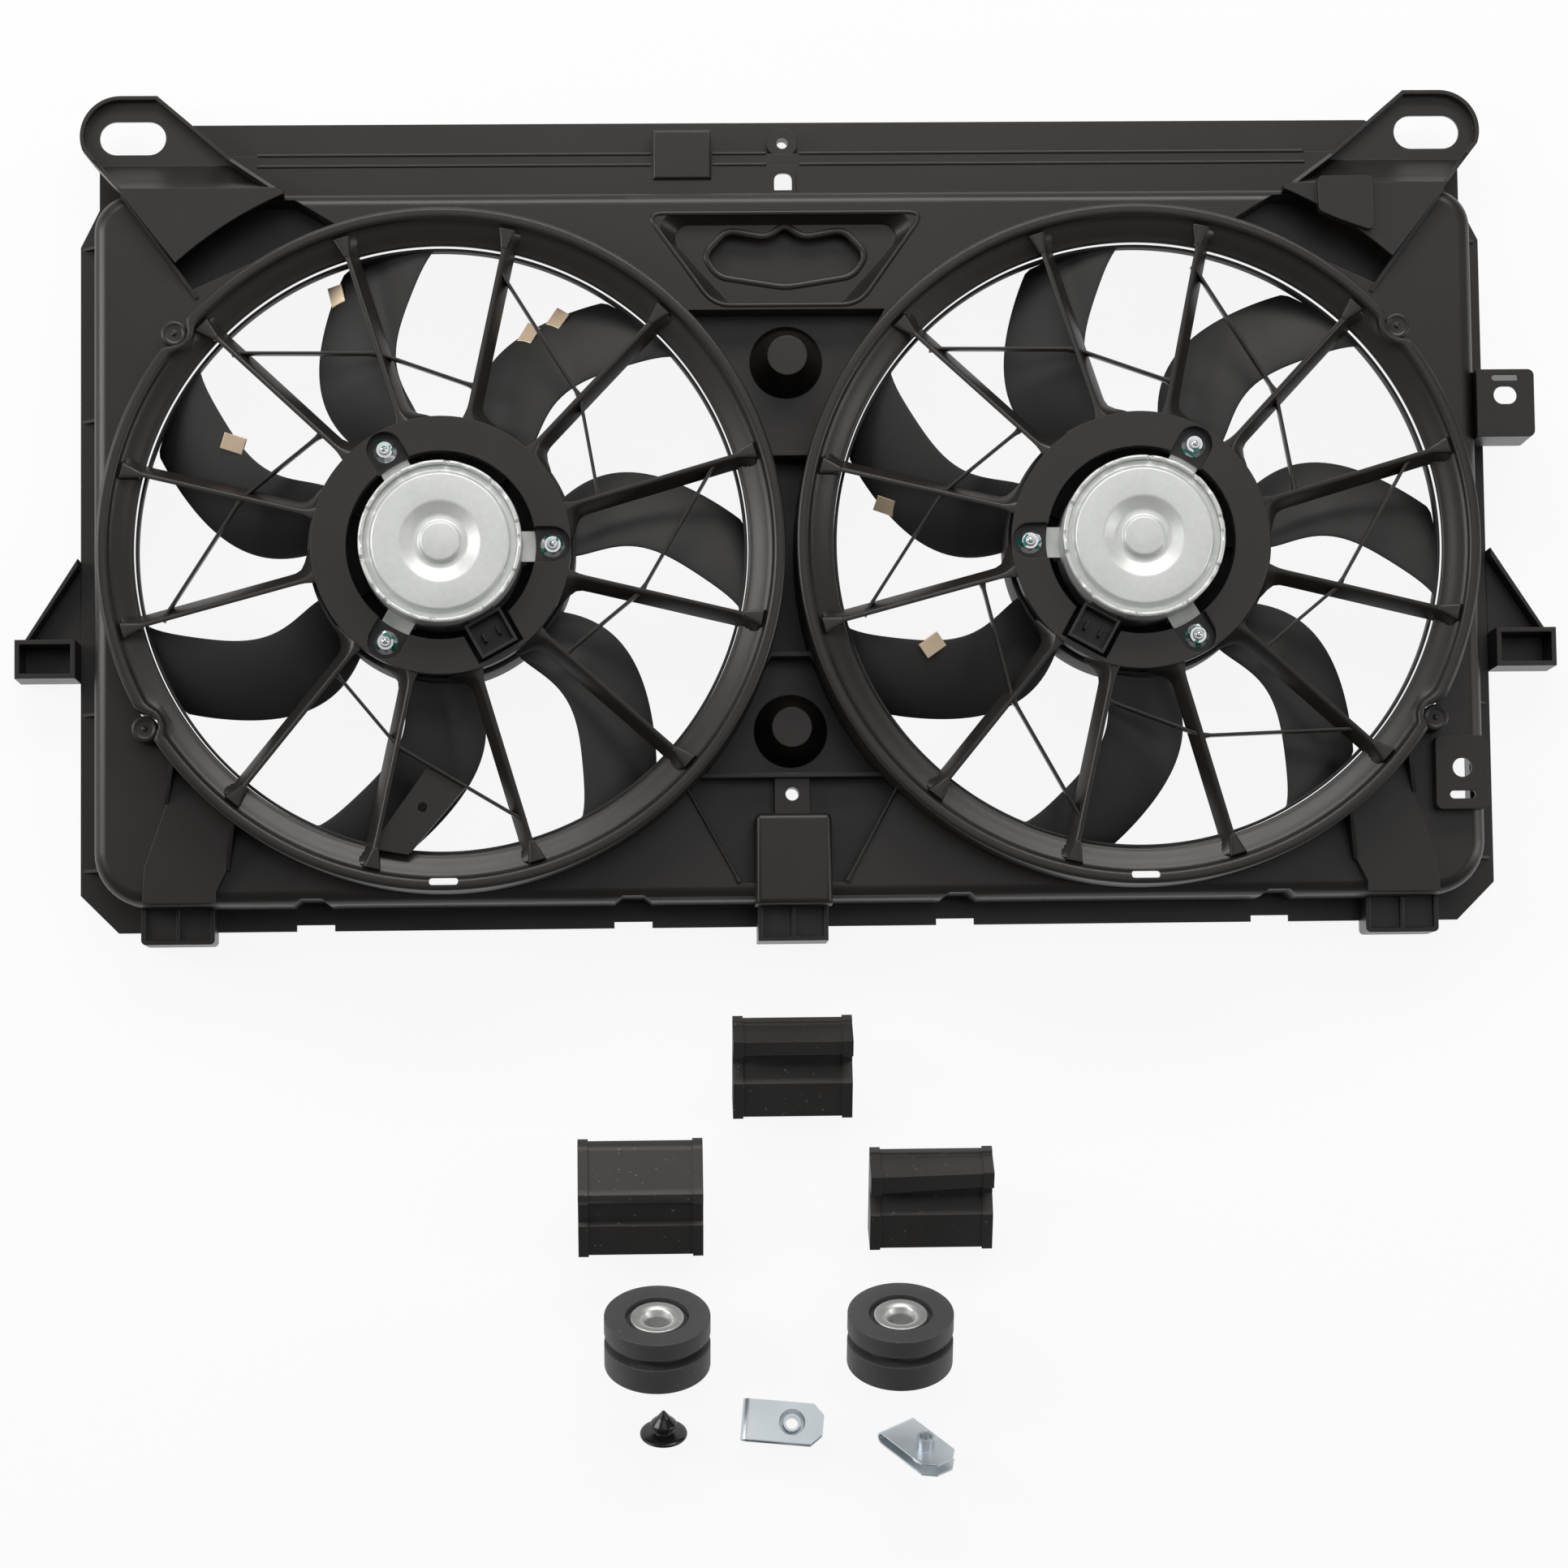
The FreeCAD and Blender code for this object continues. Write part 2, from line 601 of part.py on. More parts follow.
def buttress(side):
    """Raised block from the ring down to a foot, with a fin along each flank, and its core."""
    points = [(side * (PLENUM_X - x), PLENUM_BOTTOM + y) for x, y in BUTTRESS]
    low = PLENUM_H - PLENUM_EDGE_R
    top = PLENUM_H + BUTTRESS_RISE
    core = Part.Face(polygon([(x, y, low - 1) for x, y in points]).makeOffset2D(-SKIN))
    core = core.extrude(V(0, 0, top - SKIN - low + 1))
    outer = prism(points, low, top).cut(core)
    for start, end in ((points[0], points[1]), (points[7], points[6])):
        outer = outer.fuse(strut(start, end, PLENUM_H + FIN_RISE, top))
    return outer, core


def cut_up(shell):
    """The shell as touching solids, cut apart where flange, walls, deck and floors meet."""
    far = 2 * FLANGE_X
    deck = PLENUM_H - SKIN
    rim_x = PLENUM_X - PLENUM_LOW_CORNER_R
    low_y = PLENUM_BOTTOM + SKIN + ARCH_RISE
    high_y = PLENUM_TOP - SKIN - 1
    column_x = TRAY_HALF + 4 * SKIN
    mid_x = 3 * TOP_BOSS_R
    boss_low = TOP_BOSS_Y - TOP_BOSS_R - SKIN
    nook_y = VALLEY_LOW - RIB_T / 2
    tray_y = (VALLEY_TOP + TRAY_LOW) / 2
    tab = box(-LOWER_TAB_HALF, LOWER_TAB_HALF, BLOCK_TOP_Y, VALLEY_LOW - RIB_T, 0, deck)
    boss = box(-mid_x, mid_x, boss_low, far, -1, deck)
    solids = shell.common(tab).Solids + shell.common(boss).Solids
    rest = shell.cut(tab).cut(boss)
    cells = [(-mid_x, mid_x, high_y, far, -1, deck),
             (-rim_x, rim_x, -far, 0, -1, FLANGE_T), (-rim_x, rim_x, -far, low_y, FLANGE_T, deck)]
    for y0, y1 in ((low_y, nook_y), (nook_y, tray_y), (tray_y, high_y)):
        cells.append((-column_x, column_x, y0, y1, FLANGE_T, deck))
    for y0, y1 in ((low_y, nook_y), (nook_y, 0), (0, tray_y), (tray_y, high_y)):
        cells.append((-column_x, column_x, y0, y1, deck, far))
    cells.append((-column_x, column_x, -far, low_y, deck, far))
    cells.append((-column_x, column_x, high_y, far, deck, far))
    for side in (-1, 1):
        for x0, x1, y0, y1, z0, z1 in (
                (rim_x, far, -far, far, -1, FLANGE_T), (rim_x, far, -far, far, FLANGE_T, deck),
                (mid_x, rim_x, 0, far, -1, FLANGE_T), (mid_x, rim_x, high_y, far, FLANGE_T, deck),
                (column_x, rim_x, low_y, high_y, FLANGE_T, deck),
                (column_x, far, -far, 0, deck, far), (column_x, far, 0, far, deck, far)):
            near, away = sorted((side * x0, side * x1))
            cells.append((near, away, y0, y1, z0, z1))
    for cell in cells:
        solids.extend(rest.common(box(*cell)).Solids)
    return solids


def ring(side, filled=False):
    """Bellmouth ring: upright wall, rolled bead, slope to the lip, throat wall."""
    r = RING_R
    t = SKIN
    foot = PLENUM_H - SKIN
    throat_end = LIP_Z - THROAT_DEPTH
    bead_r = r - BEAD_R
    slope_start = V(bead_r - BEAD_R, 0, BEAD_Z - BEAD_R * 0.35)
    lip = V(THROAT_R + 1.2, 0, LIP_Z)
    lip_end = V(THROAT_R, 0, LIP_Z - 1.2)
    bead_side = V(r, 0, BEAD_Z - BEAD_R)
    bead_top = V(bead_r, 0, BEAD_Z)
    diag = BEAD_R * sqrt(0.5)
    edges = [
        Part.LineSegment(V(r, 0, foot), bead_side),
        Part.Arc(bead_side, V(bead_r + diag, 0, BEAD_Z - BEAD_R + diag), bead_top),
        Part.Arc(bead_top, V(bead_r - BEAD_R * 0.6, 0, BEAD_Z - BEAD_R * 0.1), slope_start),
        Part.Arc(slope_start, (slope_start + lip) * 0.5 + V(-0.6, 0, -0.9), lip),
        Part.Arc(lip, V(THROAT_R + 0.35, 0, LIP_Z - 0.35), lip_end),
        Part.LineSegment(lip_end, V(THROAT_R, 0, throat_end)),
    ]
    if filled:
        edges.append(Part.LineSegment(V(THROAT_R, 0, throat_end), V(THROAT_R, 0, foot)))
        edges.append(Part.LineSegment(V(THROAT_R, 0, foot), V(r, 0, foot)))
    else:
        inner_top = BEAD_Z - BEAD_R - 0.5
        under = [
            V(THROAT_R, 0, throat_end), V(THROAT_R + t, 0, throat_end), V(THROAT_R + t, 0, LIP_Z - t * 0.6),
            V(bead_r - BEAD_R, 0, inner_top - t * 0.3), V(r - t, 0, inner_top),
            V(r - t, 0, foot), V(r, 0, foot),
        ]
        edges.extend(Part.LineSegment(a, b) for a, b in zip(under, under[1:]))
    face = Part.Face(Part.Wire([e.toShape() for e in edges]))
    solid = face.revolve(V(0, 0, 0), Z, 360)
    if filled:
        return moved(solid, side * FAN_X)
    whole = ring(0, filled=True)
    for angle in PEG_ANGLES:
        x, y = polar(RING_R + PEG_OUT, angle)
        x = x * side
        clear = PEG_R + PEG_GAP
        lining = tube(clear + SKIN, clear, foot, BEAD_Z + 1, x, y).common(whole)
        solid = solid.cut(rod(clear, 0, BEAD_Z + 1, x, y)).fuse(lining)
    slot = moved(stadium(RING_SLOT_L, RING_SLOT_W, foot, BEAD_Z + 1), 0, RING_SLOT_IN - RING_R)
    return moved(biggest(solid.cut(slot)), side * FAN_X)


def stator_hub(bolt_angle, plug_angle):
    """Channel ring, open to the fan, with three nut pockets and a plug window."""
    hub = revolve([
        (HUB_BORE_R, HUB_BOTTOM), (HUB_BORE_R, HUB_TOP), (HUB_R, HUB_TOP), (HUB_R, HUB_BOTTOM),
        (HUB_R - SKIN, HUB_BOTTOM), (HUB_R - SKIN, HUB_TOP - SKIN),
        (HUB_BORE_R + SKIN, HUB_TOP - SKIN), (HUB_BORE_R + SKIN, HUB_BOTTOM),
    ])
    rim = tube(HUB_R, HUB_BORE_R, HUB_BOTTOM, HUB_TOP)
    floor_z = HUB_BOTTOM + POCKET_FLOOR
    for k in range(3):
        angle = bolt_angle + 120 * k
        x, y = polar(BOLT_CIRCLE_R, angle)
        cup = rod(POCKET_R + SKIN, HUB_BOTTOM, HUB_TOP, x, y)
        cheek = box(0, BOLT_CIRCLE_R, -POCKET_R - SKIN, POCKET_R + SKIN, HUB_BOTTOM, HUB_TOP)
        hub = hub.fuse(cup.fuse(turned(cheek, angle)).common(rim))
    for k in range(3):
        angle = bolt_angle + 120 * k
        x, y = polar(BOLT_CIRCLE_R, angle)
        mouth = box(0, BOLT_CIRCLE_R, -POCKET_R, POCKET_R, floor_z, HUB_TOP + 1)
        hub = hub.cut(rod(POCKET_R, floor_z, HUB_TOP + 1, x, y))
        hub = hub.cut(turned(mouth, angle))
        hub = hub.cut(rod(STUD_R + STUD_CLEARANCE, HUB_BOTTOM - 1, floor_z + 1, x, y))
    window = box(0, PLUG_OUT + PLUG_GAP, -PLUG_WINDOW / 2, PLUG_WINDOW / 2, HUB_BOTTOM - 1, HUB_TOP + 1)
    hub = hub.cut(turned(window, plug_angle))
    return hub.removeSplitter()


def vane():
    """One straight stator vane along +X, leaning clockwise below its crest, and its foot."""
    r0 = HUB_R - 2.0
    r1 = THROAT_R + VANE_RING_REACH
    sections = []
    for r, crest in ((r0, HUB_TOP - 1.0), (r1, BEAD_Z - 2.0)):
        low = crest - VANE_DEPTH
        sections.append(polygon([
            (r, VANE_T / 2, crest), (r, -VANE_T / 2, crest),
            (r, -VANE_T / 2 - VANE_LEAN, low), (r, VANE_T / 2 - VANE_LEAN, low),
        ]))
    blade = Part.makeLoft(sections, True, True)
    foot = cone(FOOT_R + 1.5, FOOT_R, LIP_Z - 6, BEAD_Z - 2, r1 - 2, FOOT_R - 1)
    return blade, foot.cut(blade)


def stator_vanes(side):
    around = ring(0, filled=True).fuse(rod(HUB_R, HUB_BOTTOM - 20, HUB_TOP + 5))
    vanes = []
    for angle in VANE_ANGLES:
        for piece in vane():
            vanes.append(biggest(turned(piece, angle).cut(around)))
    return [moved(v, side * FAN_X) for v in vanes]


def stay(start, end):
    """A thin upright bar between two (radius, angle) points at the vane crests."""
    p = polar(*start)
    q = polar(*end)
    length = sqrt((q[0] - p[0]) ** 2 + (q[1] - p[1]) ** 2)
    heading = degrees(atan2(q[1] - p[1], q[0] - p[0]))
    span = THROAT_R + VANE_RING_REACH - HUB_R
    tops = []
    for r in (start[0], end[0]):
        tops.append(HUB_TOP - 1 - (HUB_TOP - BEAD_Z + 1) * (r - HUB_R) / span - STAY_DROP)
    sections = []
    for along, top in ((0, tops[0]), (length, tops[1])):
        low = top - STAY_DEPTH
        sections.append(polygon([
            (along, STAY_T / 2, low), (along, STAY_T / 2, top),
            (along, -STAY_T / 2, top), (along, -STAY_T / 2, low),
        ]))
    bar = Part.makeLoft(sections, True, True)
    return moved(turned(bar, heading), *p)


def stator_stays(starts, side, vanes):
    """Bars that tie each chosen vane to the next two, clockwise and inwards."""
    solid_vanes = Part.makeCompound([moved(v, -side * FAN_X) for v in vanes])
    bars = []
    count = len(VANE_ANGLES)
    for start in starts:
        points = [(STAY_RADII[i], VANE_ANGLES[(start - i) % count]) for i in range(3)]
        for i in range(2):
            bar = stay(points[i], points[i + 1]).cut(solid_vanes)
            bars.append(moved(biggest(bar), side * FAN_X))
    return bars


def stadium(length, width, z0, z1):
    half = (length - width) / 2
    ends = rod(width / 2, z0, z1, -half).fuse(rod(width / 2, z0, z1, half))
    return ends.fuse(box(-half, half, -width / 2, width / 2, z0, z1)).removeSplitter()


def sheet(profile, x0, x1):
    """A bent sheet: a closed (y, z) profile carried along X."""
    face = Part.Face(polygon([(x0, y, z) for y, z in profile]))
    return face.extrude(V(x1 - x0, 0, 0))


def ear_wires():
    """The ear's outline and its inset copy: straight flanks and a round end."""
    crest_y = PLENUM_TOP - SKIN
    end_r = SLOT_W / 2 + EAR_END_MARGIN
    cx = SLOT_X + (SLOT_LENGTH - SLOT_W) / 2 - 3
    far = V(cx + end_r * cos(radians(-20)), SLOT_Y + end_r * sin(radians(-20)), 0)
    east = V(cx + end_r * cos(radians(35)), SLOT_Y + end_r * sin(radians(35)), 0)
    top = V(cx, SLOT_Y + end_r, 0)
    shoulder = V(SLOT_X - EAR_SHOULDER, SLOT_Y + end_r, 0)
    inner = V(SLOT_X - EAR_INNER, crest_y, 0)
    outer = V(SLOT_X + EAR_OUTER, crest_y, 0)
    edges = [Part.LineSegment(outer, far), Part.Arc(far, east, top), Part.LineSegment(top, shoulder),
             Part.LineSegment(shoulder, inner), Part.LineSegment(inner, outer)]
    wire = Part.Wire([e.toShape() for e in edges])
    return wire, wire.makeOffset2D(-EAR_RIM_T)


def ear(side, shell, ring_solid):
    """Slotted pan bent up to a crest, with a roof over the corner pocket."""
    wire, inset = ear_wires()
    z_up = V(0, 0, 2 * EAR_CREST_Z)
    whole = Part.Face(wire).extrude(z_up)
    inside = Part.Face(inset).extrude(z_up)
    x0 = SLOT_X - 130
    x1 = SLOT_X + 60
    crest_y = PLENUM_TOP - SKIN
    bend_y = crest_y + EAR_BEND
    far_y = SLOT_Y + 60
    knee_y = crest_y + EAR_BEND * 0.4
    knee_z = EAR_FLOOR + (EAR_CREST_Z - EAR_FLOOR) * 0.4
    under = EAR_CREST_Z - EAR_T - 1
    low = [(crest_y, under), (crest_y + 2, under), (knee_y, knee_z), (bend_y, EAR_FLOOR), (far_y, EAR_FLOOR)]
    crest = [(crest_y + 4, EAR_CREST_Z), (crest_y, EAR_CREST_Z)]
    floor_top = EAR_FLOOR + EAR_T
    floor_sheet = sheet(low + [(far_y, floor_top), (bend_y + 1, floor_top),
                               (knee_y + 2, knee_z + EAR_T)] + crest, x0, x1)
    rim_top = floor_top + EAR_RIM_H
    rim_sheet = sheet(low + [(far_y, rim_top), (bend_y + 4, rim_top),
                             (knee_y + 6, knee_z + EAR_T + EAR_RIM_H)] + crest, x0, x1)
    pan = whole.common(floor_sheet).fuse(whole.cut(inside).common(rim_sheet))
    pan = pan.cut(moved(stadium(SLOT_LENGTH, SLOT_W, -1, 2 * EAR_CREST_Z), SLOT_X, SLOT_Y))

    tip = (SLOT_X - EAR_ROOF_TIP[0], EAR_ROOF_TIP[1])
    corner_out = (SLOT_X + EAR_OUTER, crest_y)
    corner_in = (SLOT_X - EAR_INNER, crest_y)
    under_ring = [(SLOT_X - 60, 160.0), (SLOT_X - 90, 190.0)]
    roof = prism([corner_out, tip] + under_ring + [corner_in], EAR_CREST_Z - SKIN, EAR_CREST_Z)
    roof = roof.cut(rod(RING_R + EAR_ROOF_GAP, 0, 2 * EAR_CREST_Z, FAN_X))
    out_wall = strut(corner_out, (SLOT_X - EAR_RIB_OUT[0], EAR_RIB_OUT[1]), EAR_CREST_Z, PLENUM_H + 1)
    in_wall = strut(corner_in, (SLOT_X - EAR_RIB_IN[0], EAR_RIB_IN[1]), EAR_CREST_Z, PLENUM_H + 1)
    back = box(corner_in[0], corner_out[0], crest_y, crest_y + SKIN, PLENUM_H - SKIN, EAR_CREST_Z)
    solid = pan.fuse(roof).fuse(out_wall).fuse(in_wall).fuse(back)
    if side > 0:
        points = [(SLOT_X - x, y) for x, y in EAR_PLATE]
        plate = prism(points, EAR_CREST_Z - SKIN, EAR_CREST_Z + EAR_PLATE_RISE)
        solid = solid.fuse(plate.makeFillet(4.0, upright_edges(plate, points, 0.1)))
    if side < 0:
        solid = mirrored(solid)
    solid = solid.cut(ring_solid).cut(shell)
    return biggest(solid).removeSplitter()


def strut(start, end, z_start, z_end):
    """An upright rib on the plenum face between two (x, y) points, its top falling."""
    dx = end[0] - start[0]
    dy = end[1] - start[1]
    length = sqrt(dx * dx + dy * dy)
    base = PLENUM_H - 0.5
    side_face = Part.Face(polygon([(0, -RIB_T / 2, base), (length, -RIB_T / 2, base),
                                   (length, -RIB_T / 2, z_end), (0, -RIB_T / 2, z_start)]))
    rib = side_face.extrude(V(0, RIB_T, 0))
    return moved(turned(rib, degrees(atan2(dy, dx))), start[0], start[1])


def side_tab(side):
    """An open-fronted channel on the flange edge, with a web up to the flange."""
    x0 = FLANGE_X
    x1 = FLANGE_X + TAB_OUT
    channel = box(x0, x1, TAB_LOW, TAB_HIGH, 0, TAB_H)
    channel = channel.cut(box(x0 + SKIN, x1 - SKIN, TAB_LOW + SKIN, TAB_HIGH - SKIN, SKIN, TAB_H + 1))
    web = prism([(x0, TAB_HIGH), (x1 - 4, TAB_HIGH), (x0, TAB_WEB_TOP)], 0, FLANGE_T)
    slope_rib = prism([(x1 - 4 - RIB_T, TAB_HIGH), (x1 - 4, TAB_HIGH),
                       (x0, TAB_WEB_TOP), (x0, TAB_WEB_TOP - 2 * RIB_T)], 0, TAB_H * 0.6)
    solid = fused([channel, web, slope_rib])
    return solid if side > 0 else mirrored(solid)


def upper_bracket():
    """Hollow box on the right wall with a hole and a slot in its face."""
    x0 = PLENUM_X
    x1 = PLENUM_X + BRACKET_OUT
    body = box(x0, x1, BRACKET_LOW, BRACKET_HIGH, BRACKET_BASE, BRACKET_TOP)
    body = body.makeFillet(4.0, upright_edges(body, [(x1, BRACKET_LOW), (x1, BRACKET_HIGH)], 0.1))
    body = body.cut(box(x0 + SKIN, x1 - SKIN, BRACKET_LOW + SKIN, BRACKET_HIGH - SKIN,
                        BRACKET_BASE - 1, BRACKET_TOP - SKIN))
    hole_x = (x0 + x1) / 2
    hole_y = BRACKET_HIGH - BRACKET_HOLE_DOWN
    hole = stadium(2 * BRACKET_HOLE_R + 3.5, 2 * BRACKET_HOLE_R, BRACKET_BASE - 1, BRACKET_TOP + 1)
    window = stadium(BRACKET_WINDOW_L, BRACKET_WINDOW_W, BRACKET_BASE - 1, BRACKET_TOP + 1)
    body = body.cut(moved(window, hole_x, BRACKET_HIGH - BRACKET_WINDOW_DOWN))
    return body.cut(moved(hole, hole_x, hole_y))


def lower_bracket(shell, ring_solid):
    """Raised perch on the plenum's lower right edge, with a hole and a slot."""
    x1 = PLENUM_X
    top = PLENUM_H + PERCH_RISE
    base = PLENUM_H - PLENUM_EDGE_R
    body = box(PERCH_IN, x1, PERCH_LOW, PERCH_HIGH, base, top)
    corners = [(PERCH_IN, PERCH_LOW), (x1, PERCH_LOW), (x1, PERCH_HIGH), (PERCH_IN, PERCH_HIGH)]
    body = body.makeFillet(4.0, upright_edges(body, corners, 0.1))
    body = body.cut(box(PERCH_IN + SKIN, x1 - SKIN, PERCH_LOW + SKIN, PERCH_HIGH - SKIN,
                        base - 1, top - SKIN))
    hole_x = (PERCH_IN + x1) / 2
    body = body.cut(rod(PERCH_HOLE_R, PLENUM_H - 1, top + 1, hole_x, PERCH_HIGH - 20))
    body = body.cut(moved(stadium(16, 5, PLENUM_H - 1, top + 1), hole_x, PERCH_HIGH - 37))
    return biggest(body.cut(ring_solid).cut(shell))


def foot(side, shell):
    """A hollow lug below the plenum wall, stiffened by one middle rib."""
    y0 = PLENUM_BOTTOM - FOOT_OUT
    y1 = PLENUM_BOTTOM
    body = box(FOOT_X - FOOT_HALF, FOOT_X + FOOT_HALF, y0, y1, 0, FOOT_H)
    corners = upright_edges(body, [(FOOT_X - FOOT_HALF, y0), (FOOT_X + FOOT_HALF, y0)], 0.1)
    body = body.makeFillet(3.0, corners)
    hollow = box(FOOT_X - FOOT_HALF + SKIN, FOOT_X + FOOT_HALF - SKIN, y0 + SKIN, y1 + 1, SKIN, FOOT_H + 1)
    rib = box(FOOT_X - RIB_T / 2, FOOT_X + RIB_T / 2, y0 + 1, y1, 0, FOOT_H)
    body = body.cut(hollow).fuse(rib)
    if side < 0:
        body = mirrored(body)
    return biggest(body.cut(shell))


def foot_centre(shell):
    """Raised block over the lower edge, with an open ribbed foot below it."""
    top = PLENUM_H + BLOCK_RISE
    block = box(-BLOCK_HALF, BLOCK_HALF, BLOCK_LOW_Y, BLOCK_TOP_Y, NOOK_FLOOR, top)
    corners = upright_edges(block, [(-BLOCK_HALF, BLOCK_TOP_Y), (BLOCK_HALF, BLOCK_TOP_Y)], 0.1)
    block = block.makeFillet(4.0, edges_at(block, top) + corners)
    block = block.cut(box(-BLOCK_HALF + SKIN, BLOCK_HALF - SKIN, BLOCK_LOW_Y + SKIN, BLOCK_TOP_Y - SKIN,
                          NOOK_FLOOR - 1, top - SKIN))
    y0 = PLENUM_BOTTOM - BLOCK_FOOT_OUT
    half = BLOCK_HALF - 2
    low = box(-half, half, y0, PLENUM_BOTTOM, 0, BLOCK_FOOT_H)
    hollow = box(-half + SKIN, half - SKIN, y0 + SKIN, PLENUM_BOTTOM + 1, SKIN, BLOCK_FOOT_H + 1)
    rib = box(-RIB_T / 2, RIB_T / 2, y0 + 1, PLENUM_BOTTOM, 0, BLOCK_FOOT_H)
    drop = box(-half, half, PLENUM_BOTTOM - SKIN, PLENUM_BOTTOM, 0, top - 4)
    body = block.fuse(low.cut(hollow)).fuse(rib).fuse(drop)
    return biggest(body.cut(shell)).removeSplitter()


def blade_root_r():
    return FAN_HUB_R - FAN_WALL - 4.0


def blade_tip_r():
    return THROAT_R - TIP_CLEARANCE - BAND_T / 2


def fan_blade_level():
    return LIP_Z - BLADE_DROP


def blade(angle):
    """One fan blade lofted through curved sections from hub to band."""
    middle = fan_blade_level()
    sections = []
    for share, sweep, chord in BLADE_SECTIONS:
        r = blade_root_r() + (blade_tip_r() - blade_root_r()) * share
        rise = BLADE_ROOT_RISE + (BLADE_TIP_RISE - BLADE_ROOT_RISE) * share
        a = V(r, -chord / 2, middle + rise / 2)
        b = V(r, chord / 2, middle - rise / 2)
        bow = V(0, rise, chord).normalize() * BLADE_CAMBER
        half = V(0, rise, chord).normalize() * (BLADE_T / 2)
        edge = half * 0.3
        front = Part.Arc(a + edge, (a + b) * 0.5 + bow + half, b + edge).toShape()
        nose = Part.LineSegment(b + edge, b - edge).toShape()
        back = Part.Arc(b - edge, (a + b) * 0.5 + bow - half, a - edge).toShape()
        tail = Part.LineSegment(a - edge, a + edge).toShape()
        sections.append(turned(Part.Wire([front, nose, back, tail]), sweep + angle))
    solid = Part.makeLoft(sections, True, False)
    return solid.common(tube(THROAT_R - TIP_CLEARANCE - BAND_T, FAN_HUB_R, 0, MOTOR_TOP))


def fan(phase):
    """Cup hub, the band that joins the blades' tips, and seven swept blades."""
    top = HUB_BOTTOM - FAN_HUB_GAP
    face = fan_face()
    band_out = THROAT_R - TIP_CLEARANCE
    band_top = LIP_Z - BAND_TOP_DROP
    cup = rod(FAN_HUB_R, face, top).cut(rod(FAN_HUB_R - FAN_WALL, face + FAN_FACE_T, top + 1))
    boss = rod(HUB_BOSS_R, face, face + HUB_BOSS_H)
    band = tube(band_out, band_out - BAND_T, band_top - BAND_H, band_top)
    blades = [biggest(blade(phase + 360.0 * k / BLADES)) for k in range(BLADES)]
    rib = box(HUB_BOSS_R - 1, FAN_HUB_R - 1, -RIB_T / 2, RIB_T / 2, face + 1, face + FAN_FACE_T + HUB_RIB_H)
    ribs = [turned(rib, phase + 360.0 * k / BLADES) for k in range(BLADES)]
    hub = fused([cup, boss] + ribs).cut(rod(SHAFT_R, face - 1, top + 1))
    return group([hub, band] + blades)


def blade_station(share):
    """Sweep angle and chord of the blade at this share of its span."""
    for low, high in zip(BLADE_SECTIONS, BLADE_SECTIONS[1:]):
        if low[0] <= share <= high[0]:
            t = (share - low[0]) / (high[0] - low[0])
            return low[1] + t * (high[1] - low[1]), low[2] + t * (high[2] - low[2])
    return BLADE_SECTIONS[-1][1:]


def balance_clips(places, phase):
    """Folded metal clips pressed over an edge of chosen blades."""
    clips = []
    for index, share, edge in places:
        r = blade_root_r() + (blade_tip_r() - blade_root_r()) * share
        sweep, chord = blade_station(share)
        rise = BLADE_ROOT_RISE + (BLADE_TIP_RISE - BLADE_ROOT_RISE) * share
        gap = BLADE_T / 2 + 0.4
        outer = box(-CLIP_L / 2, CLIP_L / 2, -CLIP_REACH, CLIP_T + 0.4, -gap - CLIP_T, gap + CLIP_T)
        inner = box(-CLIP_L / 2 - 1, CLIP_L / 2 + 1, -CLIP_REACH - 1, 0.4, -gap, gap)
        clip = outer.cut(inner)
        if edge < 0:
            clip.rotate(V(0, 0, 0), Z, 180)
        slope = degrees(atan2(rise, chord))
        bow = degrees(atan2(4 * BLADE_CAMBER, sqrt(chord * chord + rise * rise))) * 0.8
        clip.rotate(V(0, 0, 0), V(1, 0, 0), -slope - edge * bow)
        clip = moved(clip, r, edge * chord / 2, fan_blade_level() - edge * rise / 2)
        clips.append(turned(clip, sweep + phase + 360.0 * index / BLADES))
    return clips


def hex_nut(flats, height, bore, z):
    corners = [polar(flats / sqrt(3), 60 * k) for k in range(6)]
    return prism(corners, z, z + height).cut(rod(bore, z - 1, z + height + 1))


def motor_can(plug_angle):
    """Drawn steel can with a bearing nose and its rim crimped over the cap."""
    top = MOTOR_TOP
    low = top - CAN_H
    inner = CAN_R - CAN_T
    fold = inner - CRIMP_FOLD
    nose = BEARING_R + CAN_T
    can = revolve([
        (SHAFT_R + 1, low - NOSE_H), (nose, low - NOSE_H), (nose, low), (CAN_R, low),
        (CAN_R, top - 0.8), (CAN_R - 0.8, top), (fold, top), (fold, top - CAN_T),
        (inner, top - CAN_T), (inner, low + CAN_T),
        (nose, low + CAN_T), (nose, low + CAN_T + 1), (BEARING_R, low + CAN_T + 1),
        (BEARING_R, low - NOSE_H + CAN_T), (SHAFT_R + 1, low - NOSE_H + CAN_T),
    ])
    card = top - CARD_DROP
    half = NECK_W / 2 + 0.5
    window = box(0, CAN_R + 1, -half, half, card - 0.5, card + NECK_H + 0.5)
    return can.cut(turned(window, plug_angle))


